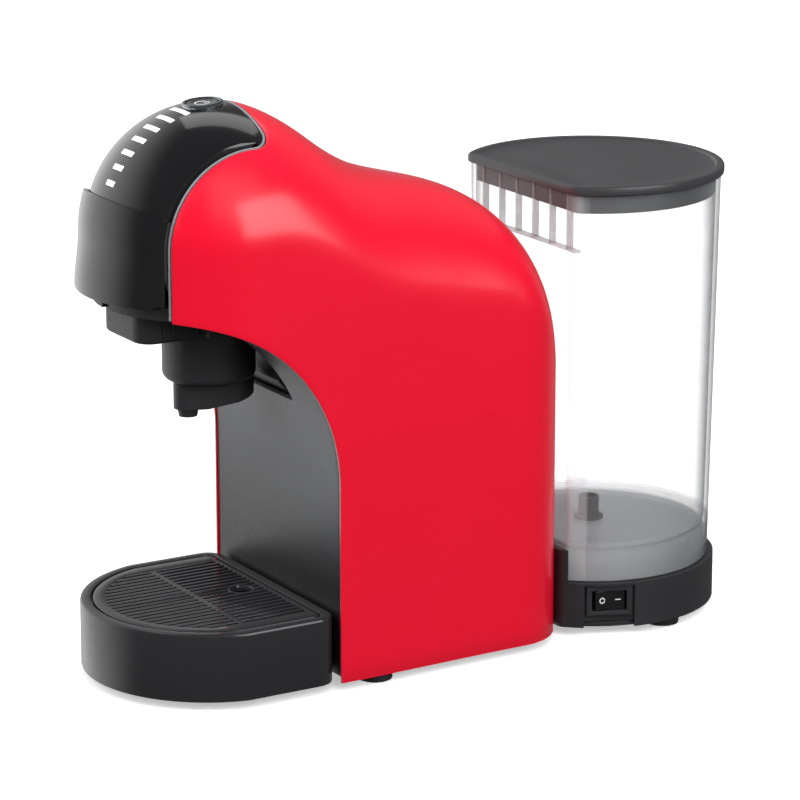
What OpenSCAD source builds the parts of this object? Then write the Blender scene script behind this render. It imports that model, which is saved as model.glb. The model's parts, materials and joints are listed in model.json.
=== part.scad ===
// Pod coffee machine: one-piece hood over a pump and boiler, lever head, sliding pod holder,
// drip tray at the front and a lift-off water tank at the back.
// Millimetres, +Z up, front towards -Y, origin on the counter under the middle of the machine.

/* [Body] */
// Width across the sides of the hood
body_w = 118; // [100:1:142]
// Depth from the front of the drip tray to the back of the tank lid
body_d = 326; // [300:1:392]
// Wall of the hood and of the large covers
wall = 2.5; // [2:0.1:3]
// Height of the rubber feet
foot_h = 4.5; // [3.5:0.1:6]
// Radius of the arch that is cut into the sides
arch_r = 79.3; // [70:0.1:96]
// Distance from the brew axis back to the front edge of the sides
reach = 33.9; // [32:0.1:42]

/* [Head] */
// Height of the underside of the head
head_under = 175.5; // [160:0.5:211]
// Height of the lever pivot above the underside of the head
pivot_rise = 30.5; // [28:0.5:36]
// Radius of the nose about the lever pivot
head_r = 58; // [54:0.5:66]
// Half width of the opening that holds the panel
opening = 39.9; // [38:0.1:44]
// Angle that the lever opens
lever_swing = 62; // [40:1:66]
// Radius of the lever pins
pin_r = 3; // [2.5:0.1:3.6]

/* [Pod holder] */
// Outer radius of the holder cup
cup_r = 21; // [18:0.1:25.2]
// Height of the holder cup
cup_h = 34.2; // [28:0.1:38]
// Lift of the brew piston
piston_lift = 9.5; // [6:0.5:11]

/* [Drip tray] */
// Height of the tray rim above the counter
tray_top = 36; // [30:0.5:44]
// Width of the tray rim
rim_w = 4.8; // [4:0.1:6]
// Distance between slots in the grid
slot_pitch = 4.2; // [3.8:0.1:5]

/* [Water tank] */
// Radius of the tank at its top
tank_r = 60; // [54:0.5:66]
// Height of the top edge of the tank
tank_top = 211; // [176:1:240]
// Distance from the tank's centre forward to its flat front
tank_chord = 40; // [34:0.5:44]
// Wall of the tank
tank_wall = 2.2; // [1.8:0.1:2.6]

/* [Hidden] */
$fn = 64;

// Running and sliding clearances
gap = 0.3;
fit = 0.05;

// Plan
half_w = body_w / 2;
tray_r = half_w + 0.8;
tray_half = half_w - 0.5;
lid_r = tank_r + 1.5;
brew_y = -body_d / 2 + tray_r;
tank_y = body_d / 2 - lid_r;
chord_y = tank_y - tank_chord;
column_y = brew_y + reach;
rear_y = chord_y - 3.5;
rear_r = 28;
side_taper = 2.5;

// Heights
base_z = foot_h;
base_top = base_z + 2.5;
arch_z = head_under + gap - arch_r;
arch_y = column_y - arch_r;
pivot_y = brew_y + 3.2;
pivot_z = head_under + pivot_rise;
head_top = pivot_z + head_r;

// Top line behind the pivot: distance back, drop below the nose, slope
TOP = [[0, 0, 0], [40, 17.2, -0.78], [70, 35.1, -0.38], [100, 43.8, -0.27]];
tail = 63;
tail_drop = 149;
tail_power = 3.2;

function smooth(u) = let (t = max(0, min(1, u))) t * t * (3 - 2 * t);
function mix(a, b, t) = a + (b - a) * t;

// The nose is an ellipsoid about the lever axis: its radius at a distance x from the middle
function crown(x, inset = 0) = (head_r - inset) * sqrt(max(0, 1 - pow(x / (half_w - inset), 2)));

// Cubic between two knots of the top line
function knot(p, q, d) =
  let (l = q[0] - p[0], t = (d - p[0]) / l, a = t * t, b = a * t)
  (2 * b - 3 * a + 1) * -p[1] + (b - 2 * a + t) * l * p[2] + (3 * a - 2 * b) * -q[1] + (b - a) * l * q[2];

function line(d) = head_top + (
  d < TOP[1][0] ? knot(TOP[0], TOP[1], d)
  : d < TOP[2][0] ? knot(TOP[1], TOP[2], d)
  : d < TOP[3][0] ? knot(TOP[2], TOP[3], d)
  : -TOP[3][1] + (d - TOP[3][0]) * TOP[3][2]);

// Height of the hood on its centre line
function top(y, inset = 0) =
  let (d = y - pivot_y, d1 = rear_y - tail - pivot_y, low = head_top - tail_drop)
  d <= d1 ? line(d) - inset
  : low + (line(d) - inset - low)
    * pow(max(0, 1 - pow((d - d1) / (tail - inset), tail_power)), 1 / tail_power);

// Half width of the hood, seen from above
function side(y, inset = 0) =
  let (w = half_w - side_taper * smooth((y - column_y) / 99), back = max(0, y - rear_y + rear_r))
  w - (back > 0 ? rear_r - sqrt(max(0, pow(rear_r - inset, 2) - back * back)) : inset);

// Half width of the nose, seen from above, at a distance t in front of the pivot
function nose(t, inset = 0) = (half_w - inset) * sqrt(max(0, 1 - pow(t / (head_r - inset), 2)));

function plan(y, inset = 0) = y < pivot_y ? nose(pivot_y - y, inset) : side(y, inset);

// Height of the rounded shoulder and its power, from the nose to the tail
function shoulder(y) = let (d = (y - pivot_y) / 110, e = smooth((y - rear_y + tail) / tail))
  mix(mix(head_r, 52, smooth(d)), 40, e);
function shoulder_power(y) = mix(2, 2.2, smooth((y - pivot_y) / 90));

steps = 15;

// One cross-section of the hood as a closed ring at distance y
function hood_ring(y, inset, low) =
  let (
    w = plan(y, inset),
    t = max(0, pivot_y - y),
    s = shoulder(y),
    p = 2 / shoulder_power(y),
    z0 = top(y, inset) - s,
    arc = [for (k = [0:steps]) let (a = 90 * k / steps)
      y < pivot_y
        ? [w * cos(a), pivot_z + sqrt(max(0, pow(crown(w * cos(a), inset), 2) - t * t))]
        : [w * pow(cos(a), p), z0 + s * pow(sin(a), p)]]
  )
  concat(
    [[w, y, low]],
    [for (q = arc) [q[0], y, q[1]]],
    [for (k = [steps - 1:-1:0]) [-arc[k][0], y, arc[k][1]]],
    [[-w, y, low]]);

function stations(inset) = concat(
  [for (t = [54:-4:2]) pivot_y - t],
  [for (k = [0:24]) mix(pivot_y, rear_y - rear_r, k / 24)],
  [for (a = [10:10:80]) rear_y - rear_r + (rear_r - inset) * sin(a)],
  [rear_y - inset - 0.05]);

// Closed solid through a row of rings with the same number of points
module loft(rings) {
  n = len(rings[0]);
  m = len(rings);
  polyhedron(
    points = [for (ring = rings) each ring],
    faces = concat(
      [[for (j = [0:n - 1]) j]],
      [[for (j = [n - 1:-1:0]) (m - 1) * n + j]],
      [for (i = [0:m - 2]) for (j = [0:n - 1]) let (k = (j + 1) % n)
        each [[i * n + j, (i + 1) * n + j, (i + 1) * n + k], [i * n + j, (i + 1) * n + k, i * n + k]]]));
}

module hood_solid(inset, low) {
  ys = stations(inset);
  loft([for (k = [len(ys) - 1:-1:0]) hood_ring(ys[k], inset, low)]);
}

// Solid of the nose over the opening, from its round top down to a height low
module nose_solid(inset, low) {
  w = opening + 2;
  loft([for (k = [-12:12])
    let (x = -w * k / 12, c = crown(x, inset))
    concat(
      [[x, pivot_y - c, low]],
      [for (a = [0:4:108]) [x, pivot_y - c * cos(a), pivot_z + c * sin(a)]],
      [[x, pivot_y - c * cos(108), low]])]);
}

// Draws its flat children in the YZ plane and extrudes them across X, centred
module across(w) {
  rotate([90, 0, 90]) translate([0, 0, -w / 2]) linear_extrude(w) children();
}

// Plan outline of the inside of the hood between two depths
module hood_plan(inset, y0, y1) {
  n = 24;
  ys = [for (k = [0:n]) mix(y0, y1, k / n)];
  polygon(concat([for (y = ys) [plan(y, inset), y]],
    [for (k = [n:-1:0]) [-plan(ys[k], inset), ys[k]]]));
}

// Plan of the opening in the nose, with round rear corners
panel_back = 9;
corner_r = 9;
module opening_plan(inset) {
  w = opening - inset;
  y1 = pivot_y + panel_back - inset;
  r = corner_r - inset;
  polygon(concat(
    [[-w, pivot_y - 2 * head_r], [w, pivot_y - 2 * head_r]],
    [for (a = [0:10:90]) [w - r + r * cos(a), y1 - r + r * sin(a)]],
    [for (a = [90:10:180]) [-w + r + r * cos(a), y1 - r + r * sin(a)]]));
}

// D outline: a circle cut by a chord in front of its centre, with rounded corners
function d_outline(r, c, f) =
  let (cx = sqrt(pow(r - f, 2) - pow(c - f, 2)), a = atan2(f - c, cx))
  concat(
    [for (k = [0:48]) let (t = mix(a, 180 - a, k / 48)) r * [cos(t), sin(t)]],
    [for (k = [1:6]) let (t = mix(180 - a, 270, k / 6)) [-cx, f - c] + f * [cos(t), sin(t)]],
    [for (k = [0:5]) let (t = mix(270, 360 + a, k / 6)) [cx, f - c] + f * [cos(t), sin(t)]]);

module d_plate(r, c, f, z0, z1) {
  translate([0, tank_y, z0]) linear_extrude(z1 - z0) polygon(d_outline(r, c, f));
}

// Closed tube along a smooth path through the given points
function path_point(p, i, t) =
  let (n = len(p), a = p[max(0, i - 1)], b = p[i], c = p[min(n - 1, i + 1)], d = p[min(n - 1, i + 2)])
  0.5 * (2 * b + (c - a) * t + (2 * a - 5 * b + 4 * c - d) * t * t + (3 * b - a - 3 * c + d) * t * t * t);

module hose(p, r) {
  path = concat([for (i = [0:len(p) - 2]) for (t = [0:0.2:0.9]) path_point(p, i, t)], [p[len(p) - 1]]);
  n = len(path);
  loft([for (i = [0:n - 1])
    let (
      t = path[min(n - 1, i + 1)] - path[max(0, i - 1)],
      u = t / norm(t),
      a = cross(u, [0.13, 0.31, 0.94]),
      e = a / norm(a),
      f = cross(u, e)
    )
    [for (k = [0:9]) path[i] + r * (cos(36 * k) * e + sin(36 * k) * f)]]);
}

// ---------- Fixed structure ----------

foot_x = half_w - 11;
foot_front = column_y + 23.7;
foot_rear = tank_y + 10.5;
module at_feet() {
  for (x = [-foot_x, foot_x], y = [foot_front, foot_rear])
    translate([y == foot_rear ? x * (tank_r - 12) / foot_x : x, y, 0]) children();
}

bridge_w = 50;
tunnel_top = base_top + 8.5;
tongue_w = 80;
tongue_end = brew_y - 42;
// Chassis plate under the hood and the dock, with a tongue that carries the drip tray
module base_plate() color("#1c1c1e") difference() {
  union() {
    translate([0, 0, base_z]) linear_extrude(2.5) hood_plan(wall + 0.2, column_y + 6.5, rear_y - wall - 0.2);
    d_plate(tank_r - wall - 0.2, tank_chord - wall - 0.2, 4, base_z, base_top);
    translate([-bridge_w / 2, rear_y - 6, base_z]) cube([bridge_w, 14, 2.5]);
    translate([-tongue_w / 2, tongue_end, base_z]) cube([tongue_w, column_y + 10 - tongue_end, 2]);
  }
  at_feet() translate([0, 0, base_z - 1]) cylinder(r = 3, h = 5);
  for (x = [-20, 20]) translate([x, rear_y - 14, base_z - 1]) cylinder(r = 1.8, h = 5);
}

module feet() color("#2a2a2a") at_feet() {
  cylinder(r = 8, h = foot_h);
  translate([0, 0, foot_h]) cylinder(r = 2.95, h = 2.4);
}

recess = 0.6;
cover_edge = 1.2;
channel = 27.3;
channel_z = head_under - 46.5;
// Cover behind the cup space: upright, then curving forward under the head
module front_column() color("#4a4b4e") difference() {
  intersection() {
    across(body_w) difference() {
      union() {
        translate([column_y + recess, base_z]) square([wall, arch_z - base_z]);
        intersection() {
          translate([arch_y, arch_z]) circle(r = arch_r + recess + wall, $fn = 160);
          translate([pivot_y - 38, arch_z]) square([column_y + recess + wall - pivot_y + 38, arch_r + 10]);
        }
      }
      translate([arch_y, arch_z]) circle(r = arch_r + recess, $fn = 160);
    }
    linear_extrude(head_top) hood_plan(cover_edge, pivot_y - 42, column_y + 8);
  }
  translate([-channel - 0.3, pivot_y - 60, channel_z]) cube([2 * channel + 0.6, 100, 80]);
  translate([-tongue_w / 2 - 1, column_y, base_z - 1]) cube([tongue_w + 2, 12, 3.4]);
}

// One-piece outer shell: both sides, the top and the back
module body_hood() color("#d30a1e") difference() {
  hood_solid(0, base_z);
  hood_solid(wall, base_z - 5);
  across(body_w + 20) {
    translate([arch_y, arch_z]) circle(r = arch_r, $fn = 180);
    translate([column_y - 200, -10]) square([200, arch_z + 10]);
    translate([arch_y - 200, -10]) square([200, arch_z + arch_r + 10]);
  }
  intersection() {
    linear_extrude(head_top) hood_plan(cover_edge - 0.15, pivot_y - 44, column_y + 12);
    across(body_w) {
      translate([arch_y, arch_z]) circle(r = arch_r + recess + wall + gap, $fn = 180);
      translate([column_y - 200, -10]) square([200 + recess + wall + gap, arch_z + 10]);
    }
  }
  linear_extrude(head_top + 20) opening_plan(0);
  translate([-bridge_w / 2 - 0.3, rear_y - 10, base_z - 5]) cube([bridge_w + 0.6, 20, tunnel_top - base_z + 5]);
}

trim_w = 1.1;
// Light line along the edge of the opening
module head_trim() color("#b9bcc0") difference() {
  nose_solid(0.3, head_under + 7);
  nose_solid(3.6, head_under + 6);
  translate([0, 0, -1]) linear_extrude(head_top + 20) opening_plan(0.3 + trim_w);
  difference() {
    translate([-body_w, pivot_y - 200, 0]) cube([2 * body_w, 400, head_top + 50]);
    linear_extrude(head_top + 50) opening_plan(0.3);
  }
}

seam_angle = 19.5;
arm_slot = 2.2;
arm_t = 1.5;
arm_high = 18;
panel_inset = 0.5;
panel_edge = 0.3 + trim_w + 0.2;
slot_out = opening - panel_edge - 0.2;
slot_in = slot_out - arm_slot;
slot_end = 10 - crown(slot_in) * cos(arm_high + lever_swing);
button_angle = 4.8;
ring_r = 9.2;
leds = 7;
led_first = 26.7;
led_last = 73.5;
function led_angle(k) = mix(led_first, led_last, k / (leds - 1));
function led_width(k) = mix(7, 15.5, k / (leds - 1));

// Places its children at an angle above the front, on the lever axis
module at_pivot(angle) {
  translate([0, pivot_y, pivot_z]) rotate([-angle, 0, 0]) children();
}

module led_slots(grow) {
  for (k = [0:leds - 1])
    at_pivot(led_angle(k))
      translate([-led_width(k) / 2 - grow, -head_r - 2, -1.4 - grow])
        cube([led_width(k) + 2 * grow, 7.5, 2.8 + 2 * grow]);
}

module at_button() {
  translate([0, pivot_y, pivot_z]) rotate([button_angle, 0, 0]) children();
}

// Gloss cover of the nose, with slots at its sides for the lever arms
module control_panel() color("#151517") difference() {
  intersection() {
    difference() {
      nose_solid(panel_inset, head_under + 8);
      nose_solid(panel_inset + wall, head_under + 7);
    }
    linear_extrude(head_top + 20) opening_plan(panel_edge);
  }
  for (s = [-1, 1])
    translate([s > 0 ? slot_in : -opening, pivot_y - 2 * head_r, head_under])
      cube([opening - slot_in, 2 * head_r + slot_end, 2 * head_r]);
  led_slots(0.1);
  at_button() cylinder(r = ring_r + 0.1, h = head_r + 10);
}

// Seven light bars, growing upwards
module led_windows() color("white") intersection() {
  led_slots(0);
  difference() {
    nose_solid(panel_inset, head_under + 8);
    nose_solid(panel_inset + wall + 1, head_under + 7);
  }
}

// Flexible circuit strip with the lights, under the panel
module led_board() color("#1d5a34") translate([0, pivot_y, pivot_z]) across(18)
  polygon(concat(
    [for (k = [0:12]) let (a = mix(led_first - 5, led_last + 1, k / 12)) (head_r - 5) * [-cos(a), sin(a)]],
    [for (k = [12:-1:0]) let (a = mix(led_first - 5, led_last + 1, k / 12)) (head_r - 6.6) * [-cos(a), sin(a)]]));

module button_ring() color("#c9ccd0") at_button() translate([0, 0, head_r - 6.5]) difference() {
  cylinder(r = ring_r, h = 5.8);
  translate([0, 0, -1]) cylinder(r = ring_r - 1.6, h = 8);
}

module power_button() color("#202124") at_button() translate([0, 0, head_r - 5.2]) {
  cylinder(r = ring_r - 1.9, h = 4.3);
  translate([0, 0, -3]) cylinder(r = 2, h = 3.2);
}

hole_r = cup_r - 2;
// Cover under the head, open above the pod well
module head_chin() color("#242426") translate([0, 0, head_under]) difference() {
  union() {
    linear_extrude(6) intersection() {
      hood_plan(4, pivot_y - 53.9, pivot_y - 38.5);
      translate([-opening + 1.5, pivot_y - 60]) square([2 * opening - 3, 60]);
    }
    translate([-channel, pivot_y - 39, 0]) cube([2 * channel, column_y - pivot_y + 33, 6]);
  }
  translate([0, brew_y, -1]) cylinder(r = hole_r, h = 8);
  translate([-3.2, pivot_y - 60, -1]) cube([6.4, 12, 3.4]);
}

rail_out = cup_r + 4;
rail_z = head_under - 7;
// Guide that the pod holder slides in, with a claw at its back
module holder_bracket() color("#1a1a1c") translate([0, brew_y, 0]) difference() {
  union() {
    for (s = [-1, 1]) translate([s > 0 ? cup_r + 1.2 : -channel, -14, rail_z - 5])
      cube([channel - cup_r - 1.2, reach + 16, 11.9]);
    translate([-channel, cup_r + 3.5, channel_z + 16]) cube([2 * channel, 12, 30.4]);
    across(40) polygon([[cup_r + 3.5, channel_z + 17], [cup_r + 3.5, channel_z + 8],
      [cup_r + 9.5, channel_z + 1], [cup_r + 12, channel_z + 1.5], [cup_r + 11.5, channel_z + 6],
      [cup_r + 9.5, channel_z + 17]]);
  }
  for (s = [-1, 1]) translate([s > 0 ? 0 : -rail_out - gap, -40, rail_z - gap])
    cube([rail_out + gap, cup_r + 43, 2.5 + 2 * gap]);
}

frame_in = slot_in - 4.5;
frame_t = 2;
bridge_z = head_under + 40 + piston_lift;
// Steel yoke that carries the lever pins over the brewing head
module brew_frame() color("#9a9da1") difference() {
  union() {
    for (s = [-1, 1]) translate([s > 0 ? frame_in - 0.1 : -frame_in - frame_t + 0.1, pivot_y - 18, head_under + 6])
      cube([frame_t, 36, bridge_z + 2 - head_under - 6]);
    translate([-frame_in, pivot_y - 18, bridge_z]) cube([2 * frame_in, 36, 2]);
  }
  translate([-opening, pivot_y, pivot_z]) rotate([0, 90, 0]) cylinder(r = pin_r, h = 2 * opening);
}

boiler_y = pivot_y + 44;
boiler_z = arch_z + 32;
module thermoblock() color("#a8abb0") difference() {
  union() {
    translate([-30, boiler_y, boiler_z]) cube([60, 34, 62]);
    for (z = [8, 54]) translate([0, boiler_y + 34, boiler_z + z]) rotate([-90, 0, 0]) cylinder(r = 3, h = 8);
  }
  translate([0, boiler_y + 17, boiler_z + 20]) rotate([0, 90, 0]) cylinder(r = 5, h = 80, center = true);
}

module thermostat() color("#d8d2c0") translate([-14, boiler_y + 17, boiler_z + 62]) {
  cylinder(r = 7, h = 4);
  translate([0, 0, 4]) cylinder(r = 5, h = 4);
}

pump_y = column_y + 33;
pump_z = 44;
module pump() color("#7c7f84") translate([0, pump_y, pump_z]) {
  translate([-22, 0, -18]) cube([44, 34, 36]);
  rotate([-90, 0, 0]) {
    translate([0, 0, -14]) cylinder(r = 9, h = 15);
    translate([0, 0, 33]) cylinder(r = 12, h = 17);
    translate([0, 0, 50]) cylinder(r = 3, h = 8);
    translate([0, 0, -22]) cylinder(r = 3, h = 8);
  }
}

module pump_mounts() color("#333333") for (y = [4, 24])
  translate([-24, pump_y + y, base_top]) cube([48, 6, pump_z - 18 - base_top]);

module flow_meter() color("#e4e4e0") translate([38, pump_y + 40, base_top]) {
  cylinder(r = 11, h = 16);
  translate([0, 0, 16]) cylinder(r = 2.6, h = 9);
  translate([0, 10, 8]) rotate([-90, 0, 0]) cylinder(r = 2.6, h = 8);
}

module relief_valve() color("#b08d3c") translate([-34, pump_y - 6, pump_z + 30]) {
  cylinder(r = 6, h = 20);
  translate([0, 0, 20]) cylinder(r = 2.6, h = 8);
  translate([0, 0, -7]) cylinder(r = 2.6, h = 7.5);
}

socket_y = tank_y;
// Hoses meet the end faces of the fittings that they join
module inlet_hose() color("#e9e9e4") hose([
  [38, pump_y + 58, base_top + 8], [38, pump_y + 64, base_top + 8], [34, rear_y - 14, base_top + 10],
  [16, rear_y - 2, base_top + 4.2], [8, rear_y + 12, base_top + 4.2],
  [0, socket_y - 18, base_top + 5.5], [0, socket_y - 10, base_top + 5.5]], 2.4);

module pressure_hose() color("#dcdcd6") hose([
  [0, pump_y - 22, pump_z], [0, pump_y - 24.5, pump_z + 0.4], [-2, pump_y - 26, pump_z + 5],
  [-8, pump_y - 26, pump_z + 12], [-26, pump_y - 14, pump_z + 14], [-34, pump_y - 6, pump_z + 17],
  [-34, pump_y - 6, pump_z + 20], [-34, pump_y - 6, pump_z + 23]], 2.4);

module brew_hose() color("#f0f0ea") hose([
  [0, boiler_y + 42, boiler_z + 54], [0, boiler_y + 47, boiler_z + 55], [6, boiler_y + 44, boiler_z + 66],
  [6, boiler_y + 20, boiler_z + 76], [4, boiler_y - 6, boiler_z + 84],
  [0, pivot_y + 12, bridge_z + 11], [0, brew_y, bridge_z + 9], [0, brew_y, bridge_z + 5.5],
  [0, brew_y, bridge_z + 2]], 2.2);

module control_board() color("#1f6b3a") translate([0, rear_y - 18, 0]) {
  translate([-34, 0, 78]) cube([68, 1.6, 88]);
  translate([-24, -14, 90]) cube([18, 14, 20]);
  translate([8, -9, 130]) cube([14, 9, 14]);
}

module screws() color("#8d8f92") for (x = [-20, 20]) translate([x, rear_y - 14, base_z]) {
  cylinder(r = 1.75, h = 12);
  translate([0, 0, 2.5]) cylinder(r = 4.2, h = 8);
}

// ---------- Tank dock and switch ----------

dock_top = 26;
plinth_z = 36.6;
switch_turn = -23.5;
switch_z = base_z + 12.9;
bush_turn = 120;
bush_z = base_z + 9.5;
module at_dock(turn, z) {
  translate([0, tank_y, z]) rotate([0, 0, turn]) translate([tank_r, 0, 0]) children();
}

module tank_dock() color("#19191b") difference() {
  union() {
    d_plate(tank_r, tank_chord + 3.2, 5, base_z, dock_top);
    d_plate(tank_r - 6.2, tank_chord - 4, 5, dock_top - 1, plinth_z);
    translate([0, 0, dock_top - 1]) linear_extrude(17) intersection() {
      translate([0, tank_y]) polygon(d_outline(tank_r, tank_chord + 3.2, 5));
      translate([-half_w, chord_y - 5]) square([body_w, 4.6]);
    }
  }
  difference() {
    union() {
      d_plate(tank_r - wall, tank_chord + 3.2 - wall, 3, base_z - 1, dock_top - wall);
      d_plate(tank_r - 6.2 - wall, tank_chord - 4 - wall, 3, dock_top - wall - 1, plinth_z - wall);
    }
    at_dock(switch_turn, 0) translate([-14.5, -14.5, base_z]) cube([14.5, 29, dock_top]);
    at_dock(bush_turn, 0) translate([-10, -9, base_z]) cube([10, 18, dock_top]);
  }
  translate([0, tank_y, plinth_z - 8]) cylinder(r = 8.3, h = 12);
  at_dock(switch_turn, base_z - 1) translate([-2.8, -12, 0]) cube([10, 24, 21.2]);
  at_dock(switch_turn, switch_z) translate([-12, -9.6, -5.9]) cube([12, 19.2, 11.8]);
  at_dock(bush_turn, bush_z) rotate([0, 90, 0]) cylinder(r = 5.6, h = 40, center = true);
  translate([-bridge_w / 2 - 0.3, rear_y - 4, base_z - 2]) cube([bridge_w + 0.6, 16, tunnel_top - base_z + 2]);
  at_dock(switch_turn, base_z - 1) translate([-20, -16, 0]) cube([17.2, 32, 3.8]);
  at_dock(bush_turn, base_z - 1) translate([-20, -10, 0]) cube([17.2, 20, 3.8]);
}

module dock_socket() color("#2b2b2d") translate([0, tank_y, 0]) difference() {
  union() {
    translate([0, 0, base_top]) cylinder(r = 8, h = plinth_z - base_top);
  }
  translate([0, 0, plinth_z - 7]) cylinder(r = 6.6, h = 8);
  translate([0, -10, base_top + 5.5]) rotate([90, 0, 0]) cylinder(r = 2.6, h = 6, center = true);
}

module dock_seal() color("#c8452f") translate([0, tank_y, plinth_z - 7]) difference() {
  cylinder(r = 6.6, h = 3);
  translate([0, 0, -1]) cylinder(r = 4.2, h = 5);
}

rock = 20;
rock_pin = 1.1;
rock_depth = 5.6;
module switch_bezel() color("#262628") at_dock(switch_turn, switch_z) {
  difference() {
    union() {
      translate([-2.8, -10.75, -7]) cube([1.6, 21.5, 14]);
      translate([-12, -9.5, -5.8]) cube([9.3, 19, 11.6]);
    }
    translate([-11, -8.3, -4.9]) cube([12, 16.6, 9.8]);
  }
  translate([-rock_depth, 0, 0]) cylinder(r = rock_pin, h = 10.4, center = true);
}

// Rocker with its two faces a rock angle apart, pressed on one side
module rocker() color("#101012") at_dock(switch_turn, switch_z) translate([-rock_depth, 0, 0]) difference() {
  rotate([0, 0, rock / 2]) linear_extrude(9.2, center = true)
    polygon([[-3.4, 0], [-2, -5.5], [3.4, -7.4], [2.9, 0], [3.4, 7.4], [-2, 5.5]]);
  cylinder(r = rock_pin + fit, h = 12, center = true);
}

module cord_bush() color("#151515") at_dock(bush_turn, bush_z) rotate([0, 90, 0]) difference() {
  union() {
    translate([0, 0, 0.1]) cylinder(r = 7.2, h = 1.9);
    translate([0, 0, -8]) cylinder(r = 5.5, h = 8.2);
  }
  translate([0, 0, -9]) cylinder(r = 3.5, h = 12);
}

// ---------- Lever ----------

lever_half = slot_out - 0.1;
lip_low = head_under + 6;
lip_corner = 3;
// Outline of the lever cover at a distance x from the middle, as points in the YZ plane
function lever_ring(x) =
  let (
    c = crown(x),
    in = c + 0.5,
    out = c + 2.8,
    lip = c + 5.2,
    lip_z = lip_low - pivot_z,
    low = lip_z - 1,
    high = out * sin(seam_angle),
    inner_high = in * sin(seam_angle)
  )
  concat(
    [for (k = [0:10]) let (z = mix(high, low, k / 10))
      [x, pivot_y - (z > 0 ? sqrt(out * out - z * z) : mix(out, lip, smooth(z / lip_z))), pivot_z + z]],
    [for (k = [0:8]) let (z = mix(low, inner_high, k / 8))
      [x, pivot_y - (z > 0 ? sqrt(in * in - z * z) : in), pivot_z + z]]);

// Gloss cover on the front of the nose, with a finger lip along its lower edge
module lever_cover() color("#19191b") intersection() {
  loft([for (k = [12:-1:-12]) lever_ring((lever_half + 1) * k / 12)]);
  translate([0, brew_y, 0]) rotate([90, 0, 0]) linear_extrude(2 * head_r) polygon(concat(
    [[lever_half, head_top], [-lever_half, head_top]],
    [for (a = [180:15:270]) [-lever_half + lip_corner * (1 + cos(a)), lip_low + lip_corner * (1 + sin(a))]],
    [for (a = [270:15:360]) [lever_half - lip_corner * (1 - cos(a)), lip_low + lip_corner * (1 + sin(a))]]));
}

arm_x = (slot_in + slot_out) / 2;
// Two side arms from the cover back to the pivot pins
module lever_arms() color("#3a3b3e") translate([0, pivot_y, pivot_z]) {
  r = crown(arm_x + arm_t / 2) + 0.45;
  for (s = [-1, 1]) translate([s * arm_x - arm_t / 2, 0, 0]) rotate([90, 0, 90]) linear_extrude(arm_t)
    difference() {
      union() {
        circle(r = 9);
        polygon(concat([[4, 8], [4, -8]],
          [for (a = [-22:5:arm_high]) -r * [cos(a), -sin(a)]]));
      }
      circle(r = pin_r + fit);
    }
}

module lever_pins() color("#c2c4c8") for (s = [-1, 1])
  translate([s > 0 ? frame_in - 0.4 : -slot_out - 0.2, pivot_y, pivot_z]) rotate([0, 90, 0])
    cylinder(r = pin_r, h = slot_out - frame_in + 0.6);

// ---------- Piston ----------

piston_r = cup_r - 5;
piston_z = head_under - 2.9;
module brew_piston() color("#d9d9d4") translate([0, brew_y, piston_z]) difference() {
  union() {
    cylinder(r = piston_r, h = 13);
    translate([0, 0, 13]) cylinder(r = 6, h = 8);
  }
  translate([0, 0, -1]) cylinder(r = piston_r - 5, h = 5);
  translate([0, 0, 8]) rotate_extrude() translate([piston_r, 0]) circle(r = 1.1);
}

module piston_seal() color("#c8452f") translate([0, brew_y, piston_z + 8])
  rotate_extrude() translate([piston_r, 0]) circle(r = 1.05);

module piercing_needle() color("#dfe1e4") translate([0, brew_y, piston_z + 0.5]) {
  cylinder(r1 = 0.3, r2 = 2, h = 3.5);
}

module piston_crossbar() color("#8f9296") translate([0, brew_y, piston_z + 21])
  translate([-frame_in + 1, -5, 0]) cube([2 * frame_in - 2, 10, 6]);

// ---------- Pod holder ----------

cup_z = head_under - 3.5 - cup_h;
well_r = cup_r - 2.2;
module holder_cup() color("#2b2b2d") translate([0, brew_y, 0]) difference() {
  union() {
    translate([0, 0, cup_z]) rotate_extrude() polygon(concat(
      [[0, 0]], [for (a = [-90:15:0]) [cup_r - 4 + 4 * cos(a), 4 + 4 * sin(a)]], [[cup_r, cup_h], [0, cup_h]]));
    translate([-rail_out, -cup_r + 2, rail_z]) cube([2 * rail_out, 2 * cup_r - 4, 2.5]);
  }
  translate([0, 0, cup_z + 10.6]) cylinder(r = well_r, h = cup_h);
  translate([0, 0, cup_z - 1]) cylinder(r = 3, h = 20);
}

grip_w = cup_r - 0.5;
grip_z = head_under - 14;
grip_len = 44;
// Handle in front of the cup, ribbed on its sides
module holder_grip() color("#2f3033") translate([0, brew_y, grip_z]) difference() {
  union() {
    linear_extrude(13.9) polygon(concat(
      [for (a = [180:10:270]) [-grip_w + 9 + 9 * cos(a), -grip_len + 9 + 9 * sin(a)]],
      [for (a = [270:10:360]) [grip_w - 9 + 9 * cos(a), -grip_len + 9 + 9 * sin(a)]],
      [[grip_w - 1, -14.2], [-grip_w + 1, -14.2]]));
    for (s = [-1, 1], k = [0:8]) translate([s * (grip_w - 0.2 - k * 0.1), -34.5 + 2.35 * k, 0.6])
      cylinder(r = 0.75, h = 12.6, $fn = 16);
  }
  translate([0, 0, -1]) cylinder(r = cup_r + 0.02, h = 20);
  translate([-rail_out, -cup_r + 1.9, -1]) cube([2 * rail_out, 20, 20]);
}

module holder_sieve() color("#cfd2d6") translate([0, brew_y, cup_z + 10.6]) difference() {
  cylinder(r = well_r - 0.05, h = cup_h - 10.8);
  translate([0, 0, 1]) cylinder(r = well_r - 0.8, h = cup_h);
  for (r = [5, 10]) for (a = [0:360 / (r + 1):359]) rotate(a) translate([r, 0, -1]) cylinder(r = 0.7, h = 4, $fn = 16);
}

nozzle_y = -10.8;
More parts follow.
